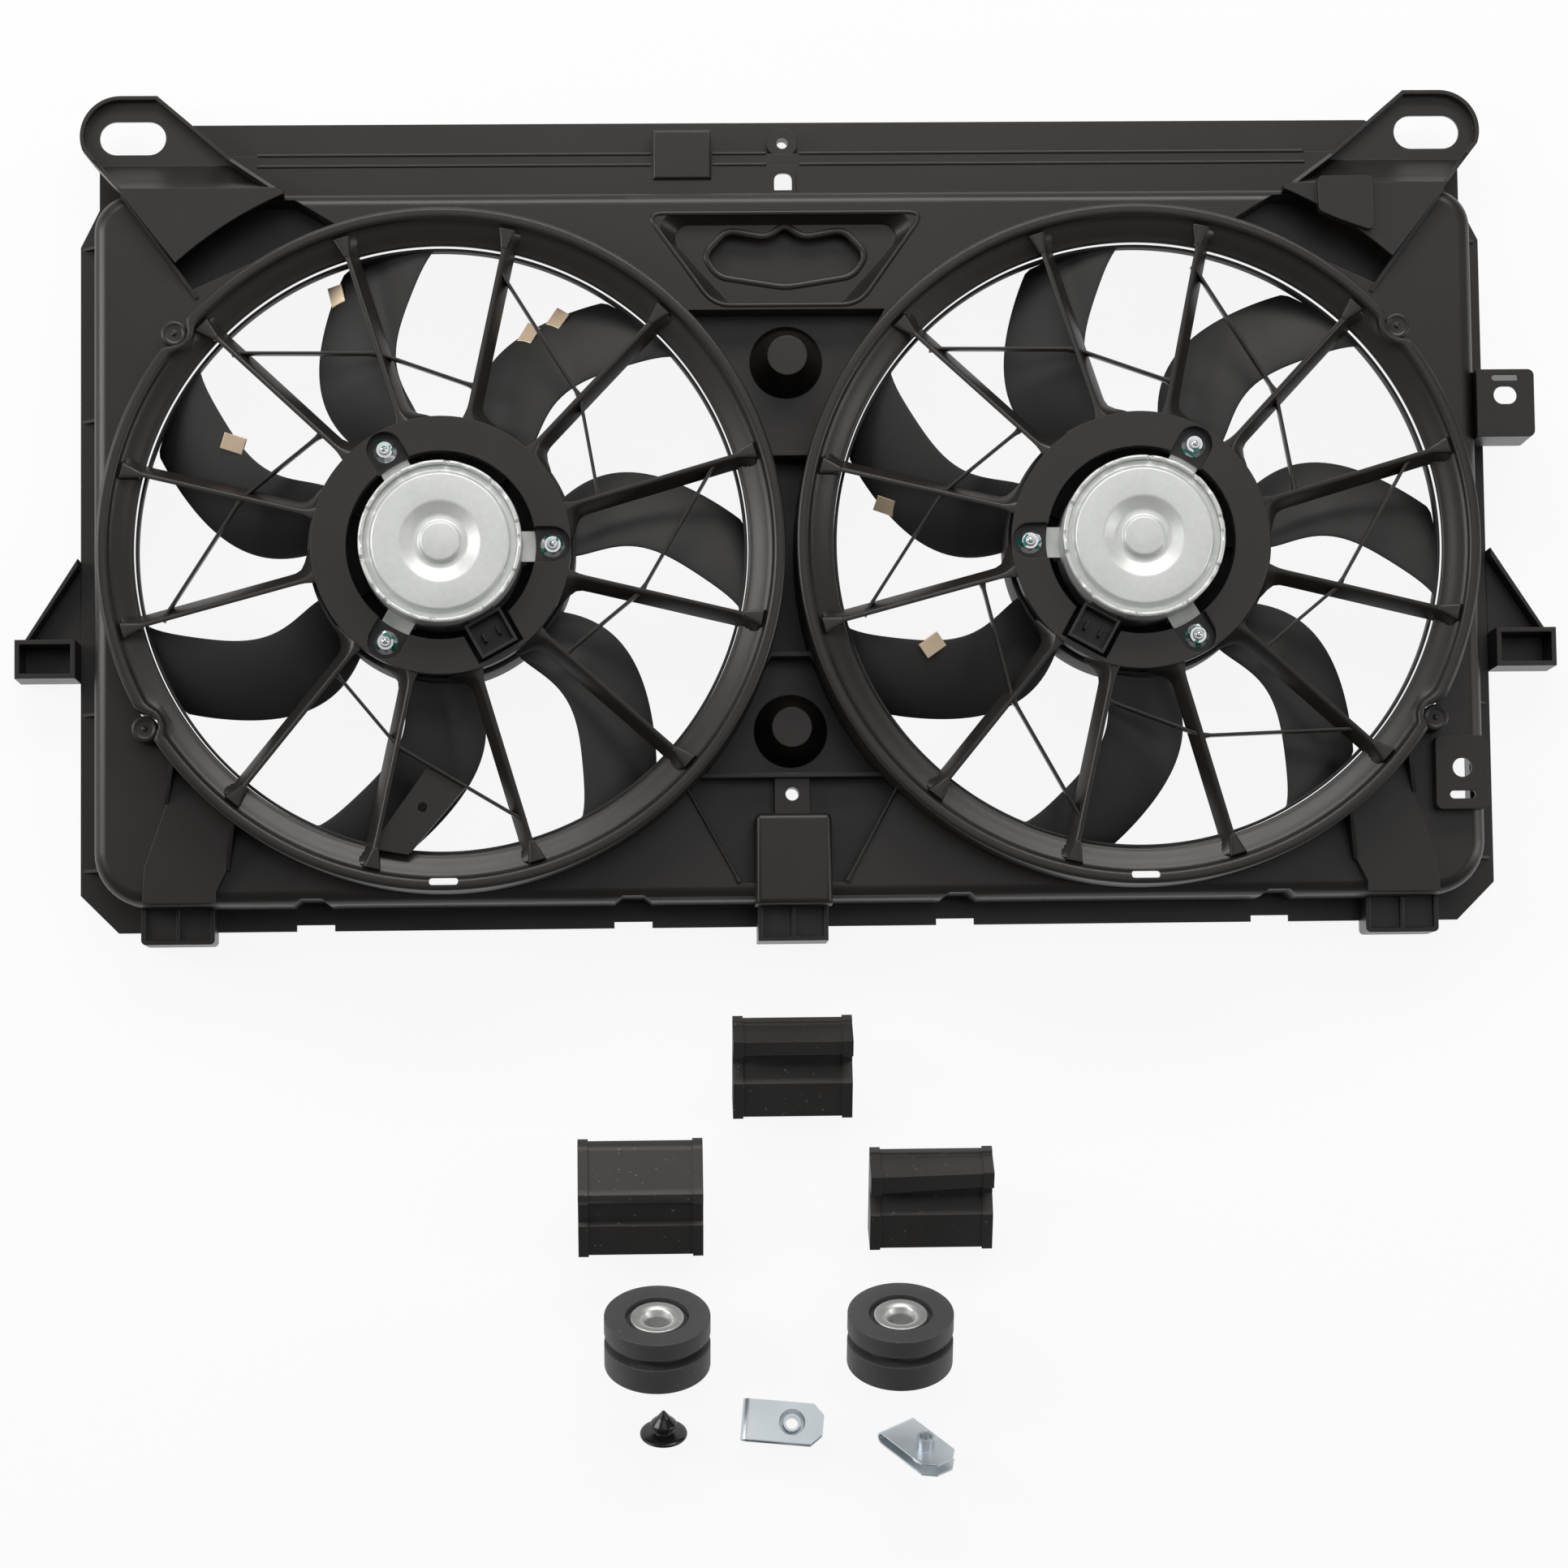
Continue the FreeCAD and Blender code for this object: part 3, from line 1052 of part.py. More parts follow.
def motor_end_cap():
    """Stamped disc held by the crimp, dished round a boss for the rear bearing."""
    top = MOTOR_TOP
    inner = CAN_R - CAN_T
    floor = top - CAP_DISH
    tube_end = floor - BEARING_H
    return revolve([
        (0, top - 0.5), (CAP_BOSS_R, top - 0.5), (CAP_BOSS_R, floor), (CAP_DISH_R - 1, floor),
        (CAP_DISH_R + 1, top), (CAP_DISC_R, top), (CAP_DISC_R, top - CAN_T), (inner, top - CAN_T),
        (inner, top - CAN_T - CAP_T), (CAP_DISC_R - CAP_T, top - CAN_T - CAP_T),
        (CAP_DISC_R - CAP_T, top - CAP_T), (CAP_DISH_R + 2, top - CAP_T),
        (CAP_DISH_R, floor - CAP_T), (CAP_BOSS_R, floor - CAP_T), (CAP_BOSS_R, tube_end),
        (BEARING_R, tube_end), (BEARING_R, floor), (0, floor),
    ])


def bearings():
    """The two plain bushes that carry the shaft, in the nose and in the cap."""
    bore = SHAFT_R + RUNNING_FIT
    front = MOTOR_TOP - CAN_H - NOSE_H + CAN_T
    rear = MOTOR_TOP - CAP_DISH - BEARING_H
    return [tube(BEARING_R, bore, z, z + BEARING_H) for z in (front, rear)]


def magnets():
    """Two arc magnets held against the inside of the can."""
    low = MOTOR_TOP - CAN_H + CAN_T + CORE_LOW - 3
    r = CAN_R - CAN_T
    arc = Part.makeCylinder(r, MAGNET_H, V(0, 0, low), Z, MAGNET_SPAN)
    arc = arc.cut(rod(r - MAGNET_T, low - 1, low + MAGNET_H + 1))
    return [turned(arc, -MAGNET_SPAN / 2), turned(arc, 180 - MAGNET_SPAN / 2)]


def core_low():
    return MOTOR_TOP - CAN_H + CAN_T + CORE_LOW


def armature_r():
    return CAN_R - CAN_T - MAGNET_T - AIR_GAP


def armature():
    """Slotted stack of laminations pressed on the shaft."""
    low = core_low()
    core = tube(armature_r(), SHAFT_R, low, low + CORE_H)
    r = armature_r()
    slot = box(r - CORE_SLOT_DEPTH, r + 1, -CORE_SLOT_W / 2, CORE_SLOT_W / 2, low - 1, low + CORE_H + 1)
    slots = [turned(slot, 360.0 * k / CORE_SLOTS) for k in range(CORE_SLOTS)]
    return core.cut(Part.makeCompound(slots))


def windings():
    """Copper filling the armature slots, with its end turns above and below."""
    low = core_low()
    r = armature_r() - 2
    inner = armature_r() - CORE_SLOT_DEPTH
    ends = [tube(r, inner - 6, z, z + WINDING_H) for z in (low - WINDING_H, low + CORE_H)]
    bar = box(inner, r - 1, -CORE_SLOT_W / 2, CORE_SLOT_W / 2, low, low + CORE_H)
    bars = [turned(bar, 360.0 * k / CORE_SLOTS) for k in range(CORE_SLOTS)]
    return fused(ends + bars)


def commutator_low():
    return core_low() + CORE_H + WINDING_H + 1


def brush_card(plug_angle):
    """Plastic plate that holds the brushes, with a neck out to the plug."""
    low = MOTOR_TOP - CARD_DROP
    disc = tube(CAN_R - CAN_T - 0.3, COMMUTATOR_R + 4, low, low + CARD_T)
    neck = box(CAN_R - 2 * CAN_T - 2, CAN_R + PLUG_GAP, -NECK_W / 2, NECK_W / 2, low, low + NECK_H)
    return disc.fuse(turned(neck, plug_angle)).removeSplitter()


def brushes(plug_angle):
    """Two carbon blocks that bear on the commutator from opposite sides."""
    low = MOTOR_TOP - CARD_DROP + CARD_T
    r = COMMUTATOR_R + BRUSH_GAP
    block = box(r, r + BRUSH_L, -BRUSH_W / 2, BRUSH_W / 2, low, low + BRUSH_H)
    return [turned(block, plug_angle + 90), turned(block, plug_angle + 270)]


def connector(plug_angle):
    """Plug housing beside the can, its socket open towards the engine side."""
    top = HUB_TOP + PLUG_HIGH
    low = HUB_TOP - PLUG_LOW
    r = CAN_R + PLUG_GAP
    body = box(r, PLUG_OUT, -PLUG_W / 2, PLUG_W / 2, low, top)
    w = PLUG_WALL
    socket = box(r + w, PLUG_OUT - w, -PLUG_W / 2 + w, PLUG_W / 2 - w, top - PLUG_SOCKET_DEPTH, top + 1)
    pins = []
    for y in (-PLUG_W / 5, PLUG_W / 5):
        middle = (r + PLUG_OUT) / 2
        pins.append(box(middle - 3, middle + 3, y - 0.6, y + 0.6, top - PLUG_SOCKET_DEPTH - 1, top - 3))
    return turned(fused([body.cut(socket)] + pins), plug_angle)


def motor_brackets(bolt_angle):
    """Three welded steel tabs, each with the stud that its nut draws up."""
    top = HUB_BOTTOM
    reach = BOLT_CIRCLE_R + TAB_OVERHANG
    can = rod(CAN_R, top - 2 * TAB_LEG, top + 1)
    leg = box(0, CAN_R + TAB_T, -TAB_W / 2, TAB_W / 2, top - TAB_LEG, top)
    leg = leg.common(rod(CAN_R + TAB_T, top - TAB_LEG, top))
    tongue = box(0, BOLT_CIRCLE_R, -TAB_W / 2, TAB_W / 2, top - TAB_T, top)
    tongue = tongue.fuse(rod(TAB_W / 2, top - TAB_T, top, BOLT_CIRCLE_R)).common(rod(reach, top - TAB_T, top))
    stud = rod(STUD_R, top - TAB_T, top + STUD_STAND, BOLT_CIRCLE_R)
    tab = leg.fuse(tongue).cut(can).fuse(stud).removeSplitter()
    return [turned(tab, bolt_angle + 120 * k) for k in range(3)]


def flange_nuts(bolt_angle):
    floor = HUB_BOTTOM + POCKET_FLOOR
    skirt = tube(NUT_FLANGE_R, STUD_R, floor, floor + NUT_FLANGE_T)
    body = hex_nut(NUT_FLATS, NUT_H - NUT_FLANGE_T, STUD_R, floor + NUT_FLANGE_T)
    nut = moved(skirt.fuse(body).removeSplitter(), BOLT_CIRCLE_R)
    return [turned(nut, bolt_angle + 120 * k) for k in range(3)]


def shaft():
    """Motor shaft from the fan nut to the rear bearing."""
    return rod(SHAFT_R, fan_face() - FAN_NUT_H - 2, MOTOR_TOP - CAP_DISH - 1)


def fan_face():
    return HUB_BOTTOM - FAN_HUB_GAP - FAN_HUB_H


def harness_tab():
    """Pierced plate tied to the left stator's lower vanes, for the loom."""
    low = HUB_BOTTOM - HARNESS_TAB_T
    plate = prism([polar(r, a) for r, a in HARNESS_TAB], low, HUB_BOTTOM)
    hole_x, hole_y = polar(*HARNESS_HOLE)
    return plate.cut(rod(HARNESS_HOLE_R, low - 1, HUB_BOTTOM + 1, hole_x, hole_y))


def stood(shapes, x, y, heading=0.0, tip=KIT_TIP):
    """Upright shapes turned and tipped back on z = 0, centred over (x, y)."""
    copies = [turned(s, heading) for s in shapes]
    for copy in copies:
        copy.rotate(V(0, 0, 0), V(1, 0, 0), -tip)
    bounds = Part.makeCompound(copies).optimalBoundingBox(False)
    dx = x - (bounds.XMin + bounds.XMax) / 2
    dy = y - (bounds.YMin + bounds.YMax) / 2
    return [moved(s, dx, dy, -bounds.ZMin) for s in copies]


def pad(width, left_profile, right_profile):
    """Rubber pad: one (depth, height) profile run into another, a cheek at each end."""
    half = width / 2
    wires = [polygon([(x, y, z) for y, z in profile])
             for x, profile in ((-half, left_profile), (half, right_profile))]
    body = Part.makeLoft(wires, True, True)
    for wire, step in ((wires[0], PAD_CHEEK_W), (wires[1], -PAD_CHEEK_W)):
        cheek = Part.Face(wire.makeOffset2D(PAD_CHEEK_RISE, 2)).extrude(V(step, 0, 0))
        body = body.fuse(cheek)
    return body.removeSplitter()


def hook_profile(drop=0.0):
    """Lower block, deep recess and a lip that overhangs it, lower by drop."""
    return [(0, 0), (0, 24), (11, 33), (11, 45.5 - drop), (-1, 45.5 - drop), (-1, 55 - drop / 2),
            (19, 56), (20, 58), (24, 58), (24, 0)]


def step_profile():
    """Lower block, set-back step, rounded bead and a face sloping up and back."""
    return [(0, 0), (0, 21), (3, 22.5), (3, 36), (0, 38), (-1, 41), (0, 44), (4, 46),
            (21, 63), (25, 65), (30, 65), (30, 0)]


def bush():
    """Grooved rubber bush and the flanged steel sleeve seated in it."""
    groove_r = BUSH_R - BUSH_GROOVE_DEPTH
    groove_top = BUSH_H - BUSH_FLANGE_HIGH
    seat = BUSH_H - BUSH_RECESS_DEPTH
    rubber = revolve([
        (SLEEVE_R, 0), (BUSH_R - 1, 0), (BUSH_R, 1), (BUSH_R, BUSH_FLANGE_LOW), (groove_r, BUSH_FLANGE_LOW),
        (groove_r, groove_top), (BUSH_R, groove_top), (BUSH_R, BUSH_H - 0.8), (BUSH_R - 0.8, BUSH_H),
        (BUSH_RECESS_R, BUSH_H), (BUSH_RECESS_R, seat), (SLEEVE_R, seat),
    ])
    top = BUSH_H - SLEEVE_SET_BACK
    sleeve = revolve([
        (SLEEVE_BORE_R, 0), (SLEEVE_R, 0), (SLEEVE_R, seat), (SLEEVE_FLANGE_R, seat),
        (SLEEVE_FLANGE_R, top - 0.6), (SLEEVE_FLANGE_R - 0.6, top), (SLEEVE_BORE_R + 4, top),
        (SLEEVE_BORE_R + 1.6, top - 0.8), (SLEEVE_BORE_R, top - 3.4),
    ])
    return [rubber, sleeve]


def push_plug():
    """Disc head, neck and barbed cone."""
    r = PUSH_PLUG_R
    h = PUSH_PLUG_H
    return revolve([
        (0, 0), (r, 0), (r, 1.3), (r - 1.5, 2.2), (r * 0.4, 2.8), (r * 0.36, 5.5), (r * 0.54, 6.8),
        (r * 0.56, 8.6), (r * 0.5, 9.6), (0.9, h - 0.4), (0, h),
    ])


def clip_nut(collar_up):
    """Spring steel folded in a U, one leaf with a threaded collar, one pierced."""
    t = CLIP_NUT_T
    half_w = CLIP_NUT_W / 2
    height = CLIP_NUT_GAP + 2 * t
    along_y = V(0, 1, 0)
    shell = box(0, CLIP_NUT_L, -half_w, half_w, 0, height)
    shell = shell.fuse(Part.makeCylinder(height / 2, CLIP_NUT_W, V(0, -half_w, height / 2), along_y))
    shell = shell.cut(box(0, CLIP_NUT_L + 1, -half_w - 1, half_w + 1, t, height - t))
    fold = Part.makeCylinder(CLIP_NUT_GAP / 2, CLIP_NUT_W + 2, V(0, -half_w - 1, height / 2), along_y)
    shell = shell.cut(fold)
    c = CLIP_NUT_CORNER
    for s in (-1, 1):
        corner = prism([
            (CLIP_NUT_L - c, s * half_w), (CLIP_NUT_L + 1, s * (half_w - c - 1)),
            (CLIP_NUT_L + 1, s * (half_w + 1)), (CLIP_NUT_L - c, s * (half_w + 1)),
        ], -1, height + 1)
        shell = shell.cut(corner)
    x = CLIP_NUT_L * 0.58
    base, end = (height, height + COLLAR_H) if collar_up else (t, height - t - 0.4)
    window = -1 if collar_up else height - t - 1
    shell = shell.cut(rod(COLLAR_R + 2.6, window, window + t + 2, x)).fuse(rod(COLLAR_R, base - t, end, x))
    return shell.cut(rod(COLLAR_BORE_R, base - t - 1, end + 1, x)).removeSplitter()


def kit_parts():
    """Pads, bushes, push plug and clip nuts, each in its own place."""
    hook = pad(HOOK_PAD_W, hook_profile(), hook_profile())
    step = pad(STEP_PAD_W, step_profile(), step_profile())
    slant = pad(SLANT_PAD_W, hook_profile(SLANT_DROP), hook_profile())
    kit = {
        "pad_hook": stood([hook], *HOOK_PAD_PLACE)[0],
        "pad_step": stood([step], *STEP_PAD_PLACE)[0],
        "pad_slant": stood([slant], *SLANT_PAD_PLACE)[0],
        "push_plug": stood([push_plug()], *PUSH_PLUG_PLACE)[0],
    }
    for label, place in zip(("left", "right"), BUSH_PLACES):
        rubber, sleeve = stood(bush(), *place)
        kit["bush_rubber_" + label] = rubber
        kit["bush_sleeve_" + label] = sleeve
    flat = stood([clip_nut(False)], *CLIP_NUT_PLACES[0], heading=-5.6, tip=13.0)
    upright = stood([clip_nut(True)], *CLIP_NUT_PLACES[1], heading=-55.0)
    kit["clip_nuts"] = group(flat + upright)
    return kit


def group(shapes):
    return shapes[0] if len(shapes) == 1 else Part.makeCompound(shapes)


def side_parts(label, bolt_angle, plug_angle, phase, clip_places):
    """One fan and its motor, about their own axis."""
    commutator = tube(COMMUTATOR_R, SHAFT_R, commutator_low(), commutator_low() + COMMUTATOR_H)
    bladed = fan(phase)
    clips = [biggest(clip.cut(bladed)) for clip in balance_clips(clip_places, phase)]
    return {
        "fan_" + label: bladed,
        "balance_clips_" + label: group(clips),
        "shaft_" + label: shaft(),
        "fan_nut_" + label: hex_nut(FAN_NUT_FLATS, FAN_NUT_H, SHAFT_R, fan_face() - FAN_NUT_H),
        "armature_" + label: armature(),
        "windings_" + label: windings(),
        "commutator_" + label: commutator,
        "motor_can_" + label: motor_can(plug_angle),
        "motor_end_cap_" + label: motor_end_cap(),
        "motor_brackets_" + label: group(motor_brackets(bolt_angle)),
        "flange_nuts_" + label: group(flange_nuts(bolt_angle)),
        "magnets_" + label: group(magnets()),
        "bearings_" + label: group(bearings()),
        "brush_card_" + label: brush_card(plug_angle),
        "brushes_" + label: group(brushes(plug_angle)),
        "connector_" + label: connector(plug_angle),
    }


def export(name, shape):
    shape.exportStep("parts/" + name + ".step")
    print(name, len(shape.Solids), round(shape.Volume), shape.isValid())


os.makedirs("parts", exist_ok=True)
shell = shroud_shell()
parts = {"shroud_shell": group(cut_up(shell))}
both_rings = ring(-1, filled=True).fuse(ring(1, filled=True))
for label, side in (("left", -1), ("right", 1)):
    left = side < 0
    bolt_angle = LEFT_BOLT_ANGLE if left else RIGHT_BOLT_ANGLE
    plug_angle = LEFT_PLUG_ANGLE if left else RIGHT_PLUG_ANGLE
    phase = LEFT_FAN_PHASE if left else RIGHT_FAN_PHASE
    clips = LEFT_CLIPS if left else RIGHT_CLIPS
    vanes = stator_vanes(side)
    stays = stator_stays(LEFT_STAY_STARTS if left else RIGHT_STAY_STARTS, side, vanes)
    parts["ring_" + label] = ring(side)
    parts["stator_hub_" + label] = moved(stator_hub(bolt_angle, plug_angle), side * FAN_X)
    parts["stator_vanes_" + label] = Part.makeCompound(vanes)
    parts["stator_stays_" + label] = Part.makeCompound(stays)
    if left:
        plate = moved(harness_tab(), side * FAN_X).cut(Part.makeCompound(vanes + stays)).cut(both_rings)
        parts["harness_tab"] = biggest(plate)
    parts["ear_" + label] = ear(side, shell, both_rings)
    parts["side_tab_" + label] = side_tab(side)
    parts["foot_" + label] = foot(side, shell)
    for name, shape in side_parts(label, bolt_angle, plug_angle, phase, clips).items():
        parts[name] = moved(shape, side * FAN_X)
parts["bracket_upper"] = upper_bracket()
parts["bracket_lower"] = lower_bracket(shell, both_rings)
parts["foot_centre"] = foot_centre(shell)
parts.update(kit_parts())
for name, shape in parts.items():
    export(name, shape)
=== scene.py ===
import bmesh
import bpy
import numpy as np
from math import cos, pi, radians, sin, sqrt
from mathutils import Matrix, Vector
from mathutils.bvhtree import BVHTree


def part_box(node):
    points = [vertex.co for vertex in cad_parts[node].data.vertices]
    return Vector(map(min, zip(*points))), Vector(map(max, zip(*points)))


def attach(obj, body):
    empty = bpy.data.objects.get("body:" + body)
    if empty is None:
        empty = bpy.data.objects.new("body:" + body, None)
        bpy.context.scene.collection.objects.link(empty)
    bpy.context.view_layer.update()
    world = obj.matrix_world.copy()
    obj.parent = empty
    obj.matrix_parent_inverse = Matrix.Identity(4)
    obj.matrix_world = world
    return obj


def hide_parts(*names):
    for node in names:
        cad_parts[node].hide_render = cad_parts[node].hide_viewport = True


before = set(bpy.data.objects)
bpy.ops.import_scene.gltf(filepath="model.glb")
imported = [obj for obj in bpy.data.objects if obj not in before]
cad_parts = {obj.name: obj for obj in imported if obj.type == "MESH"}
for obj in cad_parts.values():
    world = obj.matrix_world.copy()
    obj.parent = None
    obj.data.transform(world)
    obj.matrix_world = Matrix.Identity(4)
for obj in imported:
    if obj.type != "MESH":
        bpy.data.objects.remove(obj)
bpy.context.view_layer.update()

# Table and background: a white sheet under the part. It shows white to the
# camera and to glossy rays and still takes a little of the part's shadow.


class Wire:
    """A value in a material; sums and products add its Math nodes."""

    def __init__(self, finish, socket):
        self.finish = finish
        self.socket = socket

    def math(self, operation, a, b):
        return self.finish.node("ShaderNodeMath", {"operation": operation}, {0: a, 1: b})

    def __add__(self, other):
        return self.math("ADD", self, other)

    __radd__ = __add__

    def __sub__(self, other):
        return self.math("SUBTRACT", self, other)

    def __rsub__(self, other):
        return self.math("SUBTRACT", other, self)

    def __mul__(self, other):
        return self.math("MULTIPLY", self, other)

    __rmul__ = __mul__


class Finish:
    """A material being mixed. node() adds any node and returns one output."""

    def __init__(self, name):
        self.material = bpy.data.materials.new(name)
        self.material.use_nodes = True
        self.tree = self.material.node_tree
        self.shader = self.tree.nodes["Principled BSDF"]

    def node(self, kind, settings=None, inputs=None, output=0):
        made = self.tree.nodes.new(kind)
        for key, value in (settings or {}).items():
            if key == "stops":
                ramp = made.color_ramp.elements
                while len(ramp) < len(value):
                    ramp.new(0.5)
                for stop, (place, colour) in zip(ramp, value):
                    stop.position = place
                    stop.color = (*colour, 1.0)
            else:
                setattr(made, key, value)
        for key, value in (inputs or {}).items():
            self.feed(made.inputs[key], value)
        return Wire(self, made.outputs[output])

    def feed(self, socket, value):
        if isinstance(value, Wire):
            self.tree.links.new(value.socket, socket)
        elif isinstance(value, tuple) and len(value) == 3 and len(socket.default_value) == 4:
            socket.default_value = (*value, 1.0)
        else:
            socket.default_value = value

    def set(self, **values):
        """Sets or feeds the shader's own sockets, named with underscores."""
        for key, value in values.items():
            self.feed(self.shader.inputs[key.replace("_", " ")], value)

    def place(self):
        return self.node("ShaderNodeTexCoord", output="Object")

    def noise(self, scale, detail=3.0, roughness=0.55, stretch=(1.0, 1.0, 1.0)):
        """Cloudy pattern from 0 to 1, scale in lumps per metre."""
        where = self.node("ShaderNodeMapping", None, {"Vector": self.place(), "Scale": stretch})
        return self.node("ShaderNodeTexNoise", None,
                         {"Vector": where, "Scale": scale, "Detail": detail, "Roughness": roughness})

    def ramp(self, value, *stops):
        return self.node("ShaderNodeValToRGB", {"stops": stops}, {"Fac": value})

    def mix(self, share, first, second):
        return self.node("ShaderNodeMix", {"data_type": "RGBA"}, {0: share, 6: first, 7: second}, 2)

    def bump(self, height, strength, distance, under=None):
        inputs = {"Height": height, "Strength": strength, "Distance": distance}
        if under is not None:
            inputs["Normal"] = under
        return self.node("ShaderNodeBump", None, inputs)


FLOOR_SIZE = 14.0
FLOOR_Z = -0.0006
WHITE = (1.0, 1.0, 1.0)
WHITE_SHARE = 0.90
WHITE_RAYS = ("Is Camera Ray", "Is Glossy Ray", "Is Transmission Ray")
PAPER_COLOUR = (0.80, 0.80, 0.80)
PAPER_ROUGHNESS = 0.9
PAPER_SPECULAR = 0.1
SKY_COLOUR = (0.17, 0.17, 0.172)

floor_mesh = bpy.data.meshes.new("floor")
half = FLOOR_SIZE / 2
corners = [(-half, -half, FLOOR_Z), (half, -half, FLOOR_Z), (half, half, FLOOR_Z), (-half, half, FLOOR_Z)]
floor_mesh.from_pydata(corners, [], [(0, 1, 2, 3)])
floor = bpy.data.objects.new("floor", floor_mesh)
bpy.context.scene.collection.objects.link(floor)
paper = Finish("paper")
paper.set(Base_Color=PAPER_COLOUR, Roughness=PAPER_ROUGHNESS, Specular_IOR_Level=PAPER_SPECULAR)
rays = [paper.node("ShaderNodeLightPath", output=name) for name in WHITE_RAYS]
white_share = (rays[0] + rays[1] + rays[2]) * WHITE_SHARE
lit = Wire(paper, paper.shader.outputs[0])
glow = paper.node("ShaderNodeEmission", None, {"Color": WHITE, "Strength": 1.0})
seen = paper.node("ShaderNodeMixShader", None, {0: white_share, 1: lit, 2: glow})
paper.tree.links.new(seen.socket, paper.tree.nodes["Material Output"].inputs["Surface"])
floor_mesh.materials.append(paper.material)

world = bpy.data.worlds.new("studio")
bpy.context.scene.world = world
world.use_nodes = True
sky = world.node_tree
backdrop = sky.nodes["Background"]
light_path = sky.nodes.new("ShaderNodeLightPath")
blend = sky.nodes.new("ShaderNodeMix")
blend.data_type = "RGBA"
blend.inputs[6].default_value = (*SKY_COLOUR, 1.0)
blend.inputs[7].default_value = (*WHITE, 1.0)
sky.links.new(light_path.outputs["Is Camera Ray"], blend.inputs[0])
sky.links.new(blend.outputs[2], backdrop.inputs["Color"])


# Camera and lamps: the part lies flat and is seen from about three metres
# above its loose fittings; the large soft lamp stands beyond its upper edge.

AIM = Vector((-0.00511, -0.14581, 0.05))
CAMERA_AWAY = 3.0
CAMERA_LEFT = radians(1.95)
CAMERA_LOW = radians(5.0)
CAMERA_ROLL = radians(0.72)
LENS_MM = 110.05
SENSOR_MM = 36.0
CLIP_END = 50.0
WARM = (1.0, 0.975, 0.95)
FAINTLY_WARM = (1.0, 0.985, 0.97)

back = Vector((-sin(CAMERA_LEFT), -sin(CAMERA_LOW), 0.0))
back.z = sqrt(1.0 - back.x ** 2 - back.y ** 2)
right = Vector((0.0, 1.0, 0.0)).cross(back).normalized()
up = back.cross(right)
rolled_right = right * cos(CAMERA_ROLL) - up * sin(CAMERA_ROLL)
rolled_up = right * sin(CAMERA_ROLL) + up * cos(CAMERA_ROLL)
lens = bpy.data.cameras.new("camera")
lens.lens = LENS_MM
lens.sensor_width = SENSOR_MM
lens.clip_end = CLIP_END
camera = bpy.data.objects.new("camera", lens)
bpy.context.scene.collection.objects.link(camera)
stand = Matrix((rolled_right, rolled_up, back)).transposed().to_4x4()
stand.translation = AIM + back * CAMERA_AWAY
camera.matrix_world = stand
bpy.context.scene.camera = camera


def softbox(name, place, aim, width, depth, power, colour=WHITE):
    """A rectangular lamp at place that faces aim, sizes in metres and power in watts."""
    lamp = bpy.data.lights.new(name, "AREA")
    lamp.shape = "RECTANGLE"
    lamp.size = width
    lamp.size_y = depth
    lamp.energy = power
    lamp.color = colour
    holder = bpy.data.objects.new(name, lamp)
    bpy.context.scene.collection.objects.link(holder)
    holder.location = place
    holder.rotation_euler = (Vector(place) - Vector(aim)).to_track_quat("Z", "Y").to_euler()


softbox("lamp_beyond", (0.1, 1.9, 1.7), (0.0, 0.1, 0.0), 2.8, 0.8, 50.0, WARM)
softbox("lamp_left", (-2.0, 0.4, 1.2), (0.0, 0.0, 0.0), 0.7, 1.6, 26.0, FAINTLY_WARM)
softbox("lamp_right", (2.0, -0.3, 1.0), (0.0, 0.0, 0.0), 0.5, 1.6, 12.0, FAINTLY_WARM)
softbox("lamp_above", (0.3, 0.6, 3.4), (0.0, 0.0, 0.0), 2.2, 1.4, 9.5)


# Moulding: plenum, ears, brackets, feet and tabs. One injection moulding in
# black glass-filled polypropylene, its edges soft and its faces finely grained.

BLACK = (0.0, 0.0, 0.0)
DUST = (0.22, 0.21, 0.20)
SOFT_EDGE_R = 0.0009
BEVEL_SAMPLES = {"samples": 4}
PLASTIC_IOR = 1.49
GRAIN_SCALE = 2400.0
GRAIN_DEPTH = 0.00012
SHARP_ANGLE = radians(32.0)
FLAT_ANGLE = radians(0.4)
WELD_REACH = 2e-6
CLOSE = 1e-7
FACING = 0.99
PERCH_WINDOW = ((0.4056, -0.1635, 0.0505), (0.4256, -0.1245, 0.0565))
RIM_SLACK = 1e-6


def black_plastic(name, deep, pale, rough_low, rough_high, grain, soft_edge=SOFT_EDGE_R):
    """Near-black plastic: drifting sheen, fine grain, dusty specks, rounded edges."""
    f = Finish(name)
    drift = f.noise(9.0, 4.0)
    flow = f.noise(38.0, 3.0, stretch=(1.0, 0.35, 1.0))
    speck = f.ramp(f.noise(520.0, 2.0), (0.70, BLACK), (0.78, WHITE))
    tone = f.mix(drift, deep, pale)
    spread = rough_high - rough_low
    f.set(Base_Color=f.mix(speck * 0.05, tone, DUST),
          Roughness=drift * spread * 0.6 + flow * spread * 0.4 + rough_low, IOR=PLASTIC_IOR)
    rounded = f.node("ShaderNodeBevel", BEVEL_SAMPLES, {"Radius": soft_edge})
    f.set(Normal=f.bump(f.noise(GRAIN_SCALE, 2.0), grain, GRAIN_DEPTH, rounded))
    return f.material


moulding = black_plastic("moulded_black", (0.0124, 0.0104, 0.0091), (0.0182, 0.0154, 0.0136),
                         0.28, 0.44, 0.30)


def finished(name, mesh, material, body, replaced=()):
    """Links a mesh made in the part's frame, hangs it on its body's empty and hides the CAD nodes it
    replaces.
    """
    made = bpy.data.objects.new(name, mesh)
    bpy.context.scene.collection.objects.link(made)
    mesh.materials.clear()
    mesh.materials.append(material)
    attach(made, body)
    if replaced:
        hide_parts(*replaced)
    return made


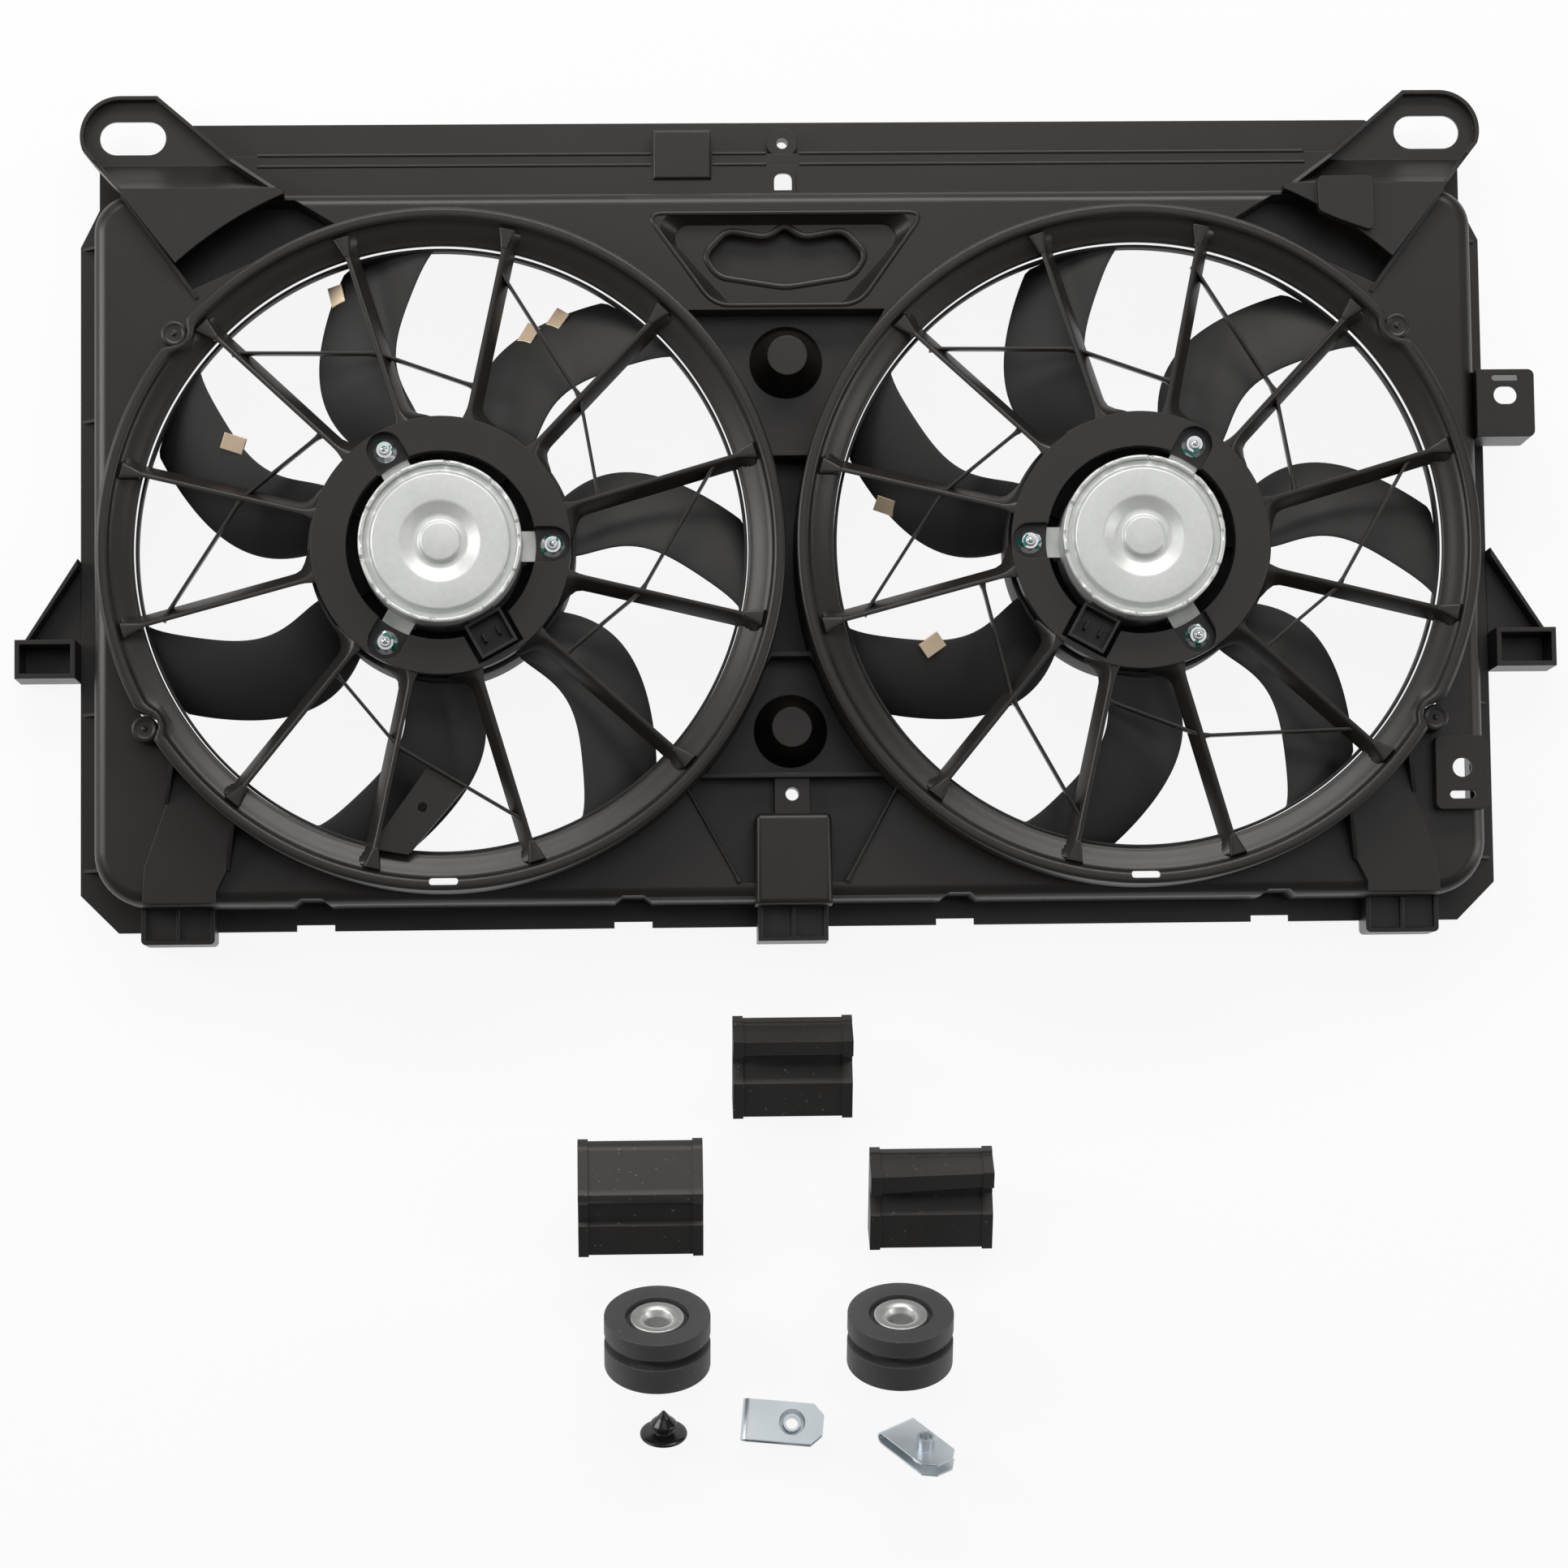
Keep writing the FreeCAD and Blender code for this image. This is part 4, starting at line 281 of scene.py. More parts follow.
def meeting_faces(shape):
    """The faces where two touching solids of a node stand back to back."""
    tree = BVHTree.FromBMesh(shape)
    met = []
    for face in shape.faces:
        near = tree.find_nearest_range(face.calc_center_median(), WELD_REACH)
        if any(normal.dot(face.normal) < -FACING for _, normal, index, _ in near if index != face.index):
            met.append(face)
    return met


def open_window(shape, window):
    """Opens a wall between two heights: its flat faces are split along the window's
    four sides, those inside are taken out, and the two rims are joined by walls."""
    low, high = Vector(window[0]), Vector(window[1])

    def flat_faces():
        """The level faces between the two heights that reach in over the window."""
        found = []
        for face in shape.faces:
            places = np.array([corner.co for corner in face.verts])
            x0, y0, _ = places.min(0)
            x1, y1, _ = places.max(0)
            level = low.z < face.calc_center_median().z < high.z and abs(face.normal.z) > FACING
            if level and x0 < high.x and x1 > low.x and y0 < high.y and y1 > low.y:
                found.append(face)
        return found

    def on_rim(vertex):
        """Whether a corner lies on the window's outline, between the two heights."""
        x, y, z = vertex.co
        beside = low.x - RIM_SLACK < x < high.x + RIM_SLACK and low.y - RIM_SLACK < y < high.y + RIM_SLACK
        return beside and low.z < z < high.z

    for at, across in ((low, (1, 0, 0)), (low, (0, 1, 0)), (high, (1, 0, 0)), (high, (0, 1, 0))):
        faces = flat_faces()
        parts = set(faces)
        for face in faces:
            parts.update(face.edges)
            parts.update(face.verts)
        bmesh.ops.bisect_plane(shape, geom=list(parts), dist=CLOSE, plane_co=at, plane_no=across)
    middles = [(face, face.calc_center_median()) for face in flat_faces()]
    inside = [face for face, mid in middles if low.x < mid.x < high.x and low.y < mid.y < high.y]
    bmesh.ops.delete(shape, geom=inside, context="FACES")
    rim = [edge for edge in shape.edges if len(edge.link_faces) == 1 and all(map(on_rim, edge.verts))]
    bmesh.ops.bridge_loops(shape, edges=rim)


def smoothed_copy(node, material, window=None):
    """A CAD node's loose triangles merged into whole faces and shaded smooth below
    SHARP_ANGLE, with normals led by the large faces, so that flat ones stay flat."""
    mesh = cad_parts[node].data.copy()
    shape = bmesh.new()
    shape.from_mesh(mesh)
    bmesh.ops.delete(shape, geom=meeting_faces(shape), context="FACES")
    bmesh.ops.remove_doubles(shape, verts=shape.verts, dist=WELD_REACH)
    if window:
        open_window(shape, window)
    bmesh.ops.dissolve_limit(shape, angle_limit=FLAT_ANGLE, verts=shape.verts, edges=shape.edges)
    for face in shape.faces:
        face.smooth = True
    for edge in shape.edges:
        edge.smooth = len(edge.link_faces) == 2 and edge.calc_face_angle(pi) < SHARP_ANGLE
    shape.to_mesh(mesh)
    shape.free()
    made = finished(node + "_skin", mesh, material, "shroud", (node,))
    weighted = made.modifiers.new("weighted", "WEIGHTED_NORMAL")
    weighted.weight = 100
    weighted.keep_sharp = True


MOULDED_NODES = ["shroud_shell", "foot_centre", "bracket_upper", "bracket_lower", "harness_tab"]
for base in ("stator_hub", "ear", "side_tab", "foot"):
    MOULDED_NODES += [base + "_left", base + "_right"]
for node in MOULDED_NODES:
    smoothed_copy(node, moulding, window=PERCH_WINDOW if node == "shroud_shell" else None)


# Fan rings: part of the same moulding. Each is a double wall, rolled over in
# a bead at the top and sloping down to the lip of the throat. From here on
# lengths are in millimetres, and MM turns them into metres.

FAN_X = 216.75
SIDES = (("left", -1.0), ("right", 1.0))
RING_R = 213.4
RING_INNER_R = 210.4
RING_LOW = 52.0
RING_TOP = 91.9
THROAT_R = 191.8
LIP_R = 190.3
LIP_LOW = 78.8
SLOPE_R = 194.8
PUSH_FROM_R = 198.0
PEG_CENTRE_R = 214.5
PEG_CLEAR_R = 9.4
PEG_ANGLES = (39.5, -31.0)
MM = 0.001


def rounded_path(points, reach, steps=4, closed=True):
    """Each corner of the path becomes a parabola that starts reach before it."""
    points = np.asarray(points, float)
    before = np.roll(points, 1, 0) - points
    after = np.roll(points, -1, 0) - points
    span_before = np.linalg.norm(before, axis=1, keepdims=True)
    span_after = np.linalg.norm(after, axis=1, keepdims=True)
    start = points + before / span_before * np.minimum(reach, span_before * 0.45)
    end = points + after / span_after * np.minimum(reach, span_after * 0.45)
    if not closed:
        start[[0, -1]] = points[[0, -1]]
        end[[0, -1]] = points[[0, -1]]
    t = np.linspace(0.0, 1.0, steps)[None, :, None]
    curve = start[:, None] * (1 - t) ** 2 + points[:, None] * 2 * t * (1 - t) + end[:, None] * t ** 2
    return curve.reshape(-1, points.shape[1])


def grid_quads(rows, columns, wrap_rows, wrap_columns):
    """Vertex numbers of the quads of a rows by columns grid."""
    i = np.arange(rows if wrap_rows else rows - 1)[:, None]
    j = np.arange(columns if wrap_columns else columns - 1)[None, :]
    a = i * columns + j
    b = i * columns + (j + 1) % columns
    c = ((i + 1) % rows) * columns + (j + 1) % columns
    d = ((i + 1) % rows) * columns + j
    return np.stack([a, b, c, d], -1).reshape(-1, 4)


def surface_mesh(name, grids):
    """Grids of points in mm, each (points, wrap rows, wrap columns), as one closed mesh."""
    points, quads, count = [], [], 0
    for grid, wrap_rows, wrap_columns in grids:
        quads.append(grid_quads(grid.shape[0], grid.shape[1], wrap_rows, wrap_columns) + count)
        points.append(grid.reshape(-1, 3))
        count += points[-1].shape[0]
    points = np.concatenate(points) * MM
    quads = np.concatenate(quads)
    mesh = bpy.data.meshes.new(name)
    mesh.vertices.add(len(points))
    mesh.vertices.foreach_set("co", points.ravel())
    mesh.loops.add(quads.size)
    mesh.loops.foreach_set("vertex_index", quads.ravel().astype(np.int32))
    mesh.polygons.add(len(quads))
    mesh.polygons.foreach_set("loop_start", np.arange(0, quads.size, 4, dtype=np.int32))
    mesh.update(calc_edges=True)
    shape = bmesh.new()
    shape.from_mesh(mesh)
    bmesh.ops.remove_doubles(shape, verts=shape.verts, dist=CLOSE)
    bmesh.ops.dissolve_degenerate(shape, edges=shape.edges, dist=CLOSE / 10)
    bmesh.ops.recalc_face_normals(shape, faces=shape.faces)
    for face in shape.faces:
        face.smooth = True
    shape.to_mesh(mesh)
    shape.free()
    mesh.set_sharp_from_angle(angle=SHARP_ANGLE)
    return mesh


def lathe(profile, centre_x, turns=192, centre_y=0.0, closed=True):
    """The profile of (radius, z) carried once round an upright axis."""
    angle = np.linspace(0.0, 2 * pi, turns, endpoint=False)[:, None]
    r, z = profile[:, 0][None, :], profile[:, 1][None, :]
    grid = np.stack([centre_x + r * np.cos(angle), centre_y + r * np.sin(angle), z + 0 * angle], -1)
    return grid, True, closed


RING_PROFILE = rounded_path([
    (RING_R, RING_LOW), (RING_R, RING_TOP), (206.6, RING_TOP), (205.0, 88.2), (199.5, 86.2), (193.4, 83.0),
    (LIP_R, 82.2), (LIP_R, LIP_LOW), (SLOPE_R, LIP_LOW), (SLOPE_R, 79.6), (204.2, 84.8),
    (RING_INNER_R, 86.0), (RING_INNER_R, RING_LOW),
], 2.6, 6)
RING_SLOT_Y = -207.4
RING_SLOT_HALF = 9.0
RING_SLOT_W = 4.5
RING_SLOT_LOW = 40.0
RING_SLOT_HIGH = 100.0


def ring_grid(side, turns=288):
    """The ring's profile round the fan axis, its outer wall pushed in on a circle round
    each peg: by all of the push at RING_R, and by none of it at PUSH_FROM_R."""
    angle = np.linspace(0.0, 2 * pi, turns, endpoint=False)[:, None]
    push = np.zeros_like(angle)
    for peg in PEG_ANGLES:
        turn = (angle - radians(peg if side > 0 else 180.0 - peg) + pi) % (2 * pi) - pi
        across = PEG_CENTRE_R * np.sin(turn)
        inside = np.clip(PEG_CLEAR_R ** 2 - across ** 2, 0.0, None)
        wall = PEG_CENTRE_R * np.cos(turn) - np.sqrt(inside)
        near = (np.abs(across) < PEG_CLEAR_R) & (np.cos(turn) > 0)
        push = np.maximum(push, np.where(near, RING_R - wall, 0.0))
    r, z = RING_PROFILE[:, 0][None, :], RING_PROFILE[:, 1][None, :]
    share = np.clip((r - PUSH_FROM_R) / (RING_R - PUSH_FROM_R), 0.0, 1.0)
    r = r - push * share
    return np.stack([side * FAN_X + r * np.cos(angle), r * np.sin(angle), z + 0 * angle], -1), True, True


def upright_block(outline, z0, z1):
    """A flat outline in mm carried from z0 up to z1 and closed over its middle."""
    flat = np.concatenate([outline, np.zeros((len(outline), 1))], 1)
    middle = np.repeat(flat.mean(0)[None], len(flat), 0)
    rows = [middle + [0.0, 0.0, z0], flat + [0.0, 0.0, z0], flat + [0.0, 0.0, z1], middle + [0.0, 0.0, z1]]
    return np.stack(rows), False, True


def cut_through(mesh, cutter_mesh):
    """The mesh less the cutter's space, worked out once; the cutter doesn't stay."""
    work = [bpy.data.objects.new("work", data) for data in (mesh, cutter_mesh)]
    for each in work:
        bpy.context.scene.collection.objects.link(each)
    cut = work[0].modifiers.new("cut", "BOOLEAN")
    cut.object = work[1]
    cut.solver = "EXACT"
    made = bpy.data.meshes.new_from_object(work[0].evaluated_get(bpy.context.evaluated_depsgraph_get()))
    for each in work:
        bpy.data.objects.remove(each)
    made.set_sharp_from_angle(angle=SHARP_ANGLE)
    return made


half, width = RING_SLOT_HALF, RING_SLOT_W / 2
slot_outline = rounded_path([(half, width), (-half, width), (-half, -width), (half, -width)], width * 0.95)
for label, side in SIDES:
    slot = upright_block(slot_outline + [side * FAN_X, RING_SLOT_Y], RING_SLOT_LOW, RING_SLOT_HIGH)
    ring = cut_through(surface_mesh("ring_" + label, [ring_grid(side)]), surface_mesh("slot", [slot]))
    finished("ring_" + label + "_skin", ring, moulding, "shroud", ("ring_" + label,))


# Fine forms of the same moulding: strips under the arches, soft rims round the
# tray, its pocket and the clip window, fine ribs, peg tops and the feet's webs.

ARCH_PLACES = (-300.5, -100.0, 104.0, 304.5)
ARCH_HALF = 10.5
ARCH_Y = -215.3
ARCH_Z = 2.7
DECK_Z = 55.0
TRAY_FLOOR_Z = 45.0
LEDGE_Z = 22.0
LEDGE_RIBS = ((254.2, 22.9), (262.6, 16.9))
LEDGE_SPANS = ((-335.0, -84.0), (-45.0, -10.5), (10.5, 335.0))
NOOK_RIB = ((69.0, -143.0), (33.5, -207.5))
NOOK_RIB_Z = DECK_Z + 2.2
FOOT_WEBS = ((-385.0, 20.3, -238.6, 26.5), (385.0, 20.3, -238.6, 26.5), (0.0, 19.3, -240.6, 36.5))
FOOT_WEB_END = -218.4
FOOT_WEB_T = 3.0
TRAY = [(-46.0, 157.0), (46.0, 157.0), (88.0, 216.0), (-88.0, 216.0)]
KIDNEY = [(-37.0, 207.0), (-11.0, 202.0), (0.0, 211.0), (11.0, 202.0), (37.0, 207.0),
          (52.0, 191.0), (43.0, 177.0), (0.0, 170.0), (-43.0, 177.0), (-52.0, 191.0)]
WINDOW = [(-5.7, 237.2), (5.7, 237.2), (5.7, 248.4), (-5.7, 248.4)]
WINDOW_EDGE = [(-8.4, 234.4), (8.4, 234.4), (8.4, 251.4), (-8.4, 251.4)]
PEG_TOP = rounded_path([(0.0, 81.2), (1.1, 81.1), (1.7, 80.3), (5.2, 80.5), (6.2, 81.0), (8.1, 80.6),
                        (8.1, 56.0), (0.0, 56.0)], 0.7, 4, False)
ARCH_SECTION = rounded_path([(1.9, -2.4), (1.9, 0.0), (-1.9, 0.0), (-1.9, -2.4)], 0.5, 3)
FINE_SECTION = rounded_path([(1.2, -1.6), (0.9, 0.0), (-0.9, 0.0), (-1.2, -1.6)], 0.6, 3)


def bar(starts, ends, section, flare=0.0, stations=14, soft=3.0, taper=0.0):
    """The section carried from start to end along a line: its width grows by flare within
    about soft mm of each end, and by taper evenly towards the end."""
    starts, ends = np.asarray(starts, float), np.asarray(ends, float)
    length = np.linalg.norm(ends - starts)
    share = (1 - np.cos(np.linspace(0.0, pi, stations))) / 2
    spine = starts + (ends - starts) * share[:, None]
    along = (ends - starts) / length
    across = np.cross([0.0, 0.0, 1.0], along)
    across /= np.linalg.norm(across)
    edge = np.minimum(share, 1 - share) * length
    widen = 1.0 + flare * np.exp(-(edge / soft) ** 2) + taper * share
    grid = spine[:, None] + across * (section[None, :, :1] * widen[:, None, None]) \
        + np.array([0.0, 0.0, 1.0]) * section[None, :, 1:]
    caps = [np.repeat(grid[k].mean(0)[None, None], section.shape[0], 1) for k in (0, -1)]
    return np.concatenate([caps[0], grid, caps[1]]), False, True


def rim_grid(outline, z, r_out, r_up, columns=12):
    """A soft bead along a closed flat outline: an oval section, r_out by r_up, that stands
    square to the outline at each of its points."""
    ahead = np.roll(outline, -1, 0) - np.roll(outline, 1, 0)
    ahead /= np.linalg.norm(ahead, axis=1, keepdims=True)
    aside = np.stack([ahead[:, 1], -ahead[:, 0]], -1)
    turn = np.linspace(0.0, 2 * pi, columns, endpoint=False)
    flat = outline[:, None] + aside[:, None] * (r_out * np.cos(turn))[None, :, None]
    height = np.broadcast_to((z + r_up * np.sin(turn))[None, :, None], flat.shape[:2] + (1,))
    return np.concatenate([flat, height], -1), True, True


def thinned(outline, least=0.05):
    """The outline without points that lie closer than least to the one before."""
    gap = np.linalg.norm(outline - np.roll(outline, 1, 0), axis=1)
    return outline[gap > least]


def plate_grid(inner, outer, z0, z1):
    """A plate between two closed outlines of as many points, from z0 up to z1."""
    levels = [(inner, z0), (inner, z1), (outer, z1), (outer, z0)]
    rows = [np.concatenate([ring, np.full((len(ring), 1), z)], 1) for ring, z in levels]
    return np.stack(rows, 1), True, True


strips = []
for x in ARCH_PLACES:
    strips.append(bar((x - ARCH_HALF, ARCH_Y, ARCH_Z), (x + ARCH_HALF, ARCH_Y, ARCH_Z), ARCH_SECTION, 0.0, 8))
ribs = []
for y, z in LEDGE_RIBS:
    ribs += [bar((x0, y, z), (x1, y, z), FINE_SECTION, 0.0, 12) for x0, x1 in LEDGE_SPANS]
pegs = []
for _, side in SIDES:
    start, end = [(side * x, y, NOOK_RIB_Z) for x, y in NOOK_RIB]
    ribs.append(bar(start, end, FINE_SECTION * [1.2, 2.0], 0.6, 12))
    for angle in PEG_ANGLES:
        peg_x = side * (FAN_X + PEG_CENTRE_R * cos(radians(angle)))
        peg_y = PEG_CENTRE_R * sin(radians(angle))
        pegs.append(lathe(PEG_TOP, peg_x, 64, peg_y, False))
webs = []
for x, half, y, z in FOOT_WEBS:
    foot = [(x - half, y), (x + half, y), (x + half, FOOT_WEB_END), (x - half, FOOT_WEB_END)]
    webs.append(upright_block(rounded_path(foot, 1.5), z - FOOT_WEB_T, z))
tray_rim = rim_grid(thinned(rounded_path(TRAY, 11.0, 8)), DECK_Z - 0.3, 1.6, 1.3)
kidney_rim = rim_grid(thinned(rounded_path(KIDNEY, 6.5, 6)), TRAY_FLOOR_Z - 0.2, 2.2, 1.5)
window_reach = np.array([[0.6], [0.6], [5.2], [5.2]])
window = plate_grid(rounded_path(WINDOW, window_reach, 6), rounded_path(WINDOW_EDGE, window_reach + 2.0, 6),
                    LEDGE_Z - 2.8, LEDGE_Z + 0.7)
fine_forms = {"arch_strips": strips, "fine_ribs": ribs, "peg_tops": pegs, "foot_webs": webs,
              "moulded_rims": [tray_rim, kidney_rim], "window_frame": [window]}
for name, grids in fine_forms.items():
    finished(name, surface_mesh(name, grids), moulding, "shroud")


# Stator vanes and stays: twelve leaning vanes hold the motor's hub in the ring,
# each with a wedge for a foot on the ring's slope, and thin stays tie them.

VANE_ANGLES = (17.0, 47.0, 78.0, 107.5, 136.5, 166.0, 194.5, 230.5, 257.5, 286.5, 318.5, 347.0)
HUB_R = 80.4
HUB_TOP = 100.0
BEAD_Z = 92.0
VANE_IN = HUB_R - 2.0
VANE_OUT = THROAT_R + 10.5
VANE_DEPTH = 11.0
VANE_LEAN = 6.5
VANE_FLARE = 1.7
STAY_RADII = (178.0, 127.0, 102.0)
STAY_STARTS = {"left": (0, 2, 4, 6, 9), "right": (0, 2, 4, 6, 8, 10)}
VANE_SECTION = rounded_path([(1.5, 0.0), (-1.5, 0.0), (-1.2 - VANE_LEAN, -VANE_DEPTH),
                             (1.0 - VANE_LEAN, -VANE_DEPTH)], 1.0, 4)
FOOT_IN = VANE_OUT - 11.0
FOOT_OUT = VANE_OUT + 1.2
FOOT_TOP = BEAD_Z - 0.9
FOOT_TAPER = 2.0
FOOT_SECTION = rounded_path([(2.1, -10.0), (1.7, 0.0), (-1.7, 0.0), (-2.6, -10.0)], 0.9, 4)
STAY_DROP = 2.0
STAY_FLARE = 0.9
STAY_SECTION = rounded_path([(1.1, -7.0), (1.0, 0.0), (-1.0, 0.0), (-1.1, -7.0)], 0.7, 3)


def turned(points, angle):
    """Points turned about Z by angle degrees."""
    c, s = cos(radians(angle)), sin(radians(angle))
    return points @ np.array([[c, s, 0.0], [-s, c, 0.0], [0.0, 0.0, 1.0]])


def crest_z(r):
    """Height of the vanes' crest: a straight line from the hub out to the ring."""
    return HUB_TOP - 1.0 - (HUB_TOP - BEAD_Z + 1.0) * (r - VANE_IN) / (VANE_OUT - VANE_IN)


def vane_grids(side):
    """The vanes, along straight lines from the hub to the ring, and their feet."""
    body = bar((VANE_IN, 0.0, crest_z(VANE_IN)), (VANE_OUT, 0.0, crest_z(VANE_OUT)), VANE_SECTION,
               VANE_FLARE, 30, 6.0)
    foot = bar((FOOT_IN, 0.0, FOOT_TOP), (FOOT_OUT, 0.0, FOOT_TOP), FOOT_SECTION, 0.0, 12, 3.0, FOOT_TAPER)
    grids = []
    for angle in VANE_ANGLES:
        for grid, rows, columns in (body, foot):
            grids.append((turned(grid, angle) + [side * FAN_X, 0.0, 0.0], rows, columns))
    return grids


def stay_grids(label, side):
    """The stays, each a row of straight bars from vane to vane down through STAY_RADII."""
    grids = []
    for start in STAY_STARTS[label]:
        nodes = []
        for k, r in enumerate(STAY_RADII):
            angle = radians(VANE_ANGLES[(start - k) % len(VANE_ANGLES)])
            nodes.append((side * FAN_X + r * cos(angle), r * sin(angle), crest_z(r) - STAY_DROP))
        grids += [bar(a, b, STAY_SECTION, STAY_FLARE) for a, b in zip(nodes, nodes[1:])]
    return grids


for label, side in SIDES:
    for base, grids in (("stator_vanes_", vane_grids(side)), ("stator_stays_", stay_grids(label, side))):
        node = base + label
        finished(node + "_skin", surface_mesh(node, grids), moulding, "shroud", (node,))


# Fans: a deep cup hub, seven swept blades and a band that joins their tips,
# one smooth black moulding pressed on the motor shaft.

FAN_HUB_R = 83.0
FAN_FACE = 44.0
FAN_TOP = 84.0
CUP_WALL = 3.0
CUP_FLOOR = FAN_FACE + 3.5
BOSS_R = 12.0
BOSS_TOP = FAN_FACE + 10.0
SHAFT_R = 4.0
BAND_OUT = 189.8
BAND_T = 1.8
BAND_TOP = 77.0
BAND_LOW = 67.0
BLADE_LEVEL = 66.0
BLADE_ROOT = 76.0
BLADE_TIP = 188.9
BLADE_COUNT = 7
BLADE_T = 2.6
BLADE_CAMBER = 3.5
LENS_POWER = 0.4
ROOT_RISE = 27.0
TIP_RISE = 18.0
FAN_PHASE = {"left": 0.0, "right": 1.5}
STATIONS = np.array([0.0, 0.22, 0.44, 0.66, 0.86, 1.0])
SWEEPS = np.polyfit(STATIONS, [61.5, 64.8, 63.0, 57.4, 51.9, 47.8], 5)
CHORDS = np.polyfit(STATIONS, [38.0, 48.0, 53.0, 57.0, 57.0, 58.0], 5)

fan_plastic = black_plastic("fan_black", (0.0105, 0.0100, 0.0097), (0.0140, 0.0134, 0.0129),
                            0.56, 0.66, 0.12, 0.0006)


def blade_grid(angle):
    """Skin of a blade: chord share round a thin lens, span share outwards.

    At span share s the section lies square to the radius, its chord and sweep
    follow the curves through the stations, it climbs by its rise from the
    leading to the trailing edge and bows by the camber's parabola."""
    span = np.linspace(0.0, 1.0, 30)[:, None]
    turn = np.linspace(0.0, 2 * pi, 44, endpoint=False)[None, :]
    across = np.cos(turn)
    lens_t = BLADE_T / 2 * np.sign(np.sin(turn)) * np.abs(np.sin(turn)) ** LENS_POWER
    chord = np.polyval(CHORDS, span)
    sweep = np.radians(np.polyval(SWEEPS, span) + angle)
    rise = ROOT_RISE + (TIP_RISE - ROOT_RISE) * span
    length = np.sqrt(chord ** 2 + rise ** 2)
    offset = BLADE_CAMBER * (1 - across ** 2) + lens_t
    r = BLADE_ROOT + (BLADE_TIP - BLADE_ROOT) * span + 0 * turn
    y = across * chord / 2 + offset * rise / length
    z = BLADE_LEVEL - across * rise / 2 + offset * chord / length
    reach = np.sqrt(r ** 2 + y ** 2)
    pull = np.minimum(1.0, BLADE_TIP / reach)
    r, y = r * pull, y * pull
    grid = np.stack([r * np.cos(sweep) - y * np.sin(sweep), r * np.sin(sweep) + y * np.cos(sweep), z], -1)
    caps = [np.repeat(grid[k].mean(0)[None, None], grid.shape[1], 1) for k in (0, -1)]
    return np.concatenate([caps[0], grid, caps[1]])


def rib_grid(angle, r0, r1, thick, z0, z1):
    """An upright radial rib with soft edges."""
    half, low = thick / 2, z0 - z1
    section = rounded_path([(half, low), (half, 0.0), (-half, 0.0), (-half, low)], 0.5, 3)
    grid, rows, columns = bar((r0, 0.0, z1), (r1, 0.0, z1), section, 0.3, 6)
    return turned(grid, angle), rows, columns


CUP_PROFILE = rounded_path([
    (SHAFT_R, FAN_FACE), (FAN_HUB_R, FAN_FACE), (FAN_HUB_R, FAN_TOP), (FAN_HUB_R - CUP_WALL, FAN_TOP),
    (FAN_HUB_R - CUP_WALL, CUP_FLOOR), (BOSS_R, CUP_FLOOR), (BOSS_R, BOSS_TOP), (SHAFT_R, BOSS_TOP),
], 1.6, 5)
BAND_PROFILE = rounded_path([
    (BAND_OUT - BAND_T, BAND_LOW), (BAND_OUT, BAND_LOW), (BAND_OUT, BAND_TOP), (BAND_OUT - BAND_T, BAND_TOP),
], 0.6, 4)
for label, side in SIDES:
    phase = FAN_PHASE[label]
    shift = np.array([side * FAN_X, 0.0, 0.0])
    grids = [lathe(CUP_PROFILE, side * FAN_X), lathe(BAND_PROFILE, side * FAN_X, 288)]
    for k in range(BLADE_COUNT):
        turn = phase + 360.0 * k / BLADE_COUNT
        grids.append((blade_grid(turn) + shift, False, True))
        rib, rows, columns = rib_grid(turn, 11.0, FAN_HUB_R - 2.0, 2.5, FAN_FACE + 1.0, FAN_FACE + 8.5)
        grids.append((rib + shift, rows, columns))
    finished("fan_" + label + "_skin", surface_mesh("fan_" + label, grids), fan_plastic,
             "fan_" + label, ("fan_" + label,))


# Motors: a drawn galvanised can, its rim crimped in tabs over a dished cap,
# hung in the hub by three welded tabs with studs and flanged nuts.

CAN_R = 50.3
CAN_LOW = 64.0
NOSE_LOW = 58.0
NOSE_R = 11.2
MOTOR_TOP = 118.0
BOLT_CIRCLE_R = 68.9
BOLT_START = {"left": 0.0, "right": 60.0}
CRIMP_NOTCHES = 10
CRIMP_DEPTH = 3.0
NOTCH_DEPTH = 2.4
STEP_DEPTH = 0.9
STUD_R = 3.0
STUD_CLEAR = 0.02
THREAD_PITCH = 1.0
THREAD_DEPTH = 0.45 * THREAD_PITCH
NUT_FLOOR = 91.0
NUT_TOP = NUT_FLOOR + 7.0
NUT_FLATS = 10.0
NUT_SKIRT = 1.5
NUT_SKIRT_R = 7.5
FAN_NUT_FLATS = 13.0
FAN_NUT_H = 5.0
ZINC_DARK = (0.50, 0.52, 0.55)
ZINC_PALE = (0.80, 0.83, 0.86)
THREAD_PAINT = (0.01, 0.22, 0.17)
SCRATCH_DEPTH = 0.00006


def plated_steel(name, dark, pale, metal, rough, spangle, grain, edge=0.0005):
    """Plated sheet: cloudy tone, faint spangle, fine scratches across one way."""
    f = Finish(name)
    cloud = f.noise(26.0, 4.0)
    cells = f.node("ShaderNodeTexVoronoi", {"feature": "F1"}, {"Vector": f.place(), "Scale": 260.0},
                   "Distance")
    brush = f.noise(900.0, 2.0, stretch=(1.0, 0.12, 1.0))
    f.set(Base_Color=f.mix(cloud * (1.0 - spangle) + cells * spangle, dark, pale), Metallic=metal,
          Roughness=cloud * 0.10 + brush * 0.10 + rough)
    rounded = f.node("ShaderNodeBevel", BEVEL_SAMPLES, {"Radius": edge})
    f.set(Normal=f.bump(brush, grain, SCRATCH_DEPTH, rounded))
    return f.material


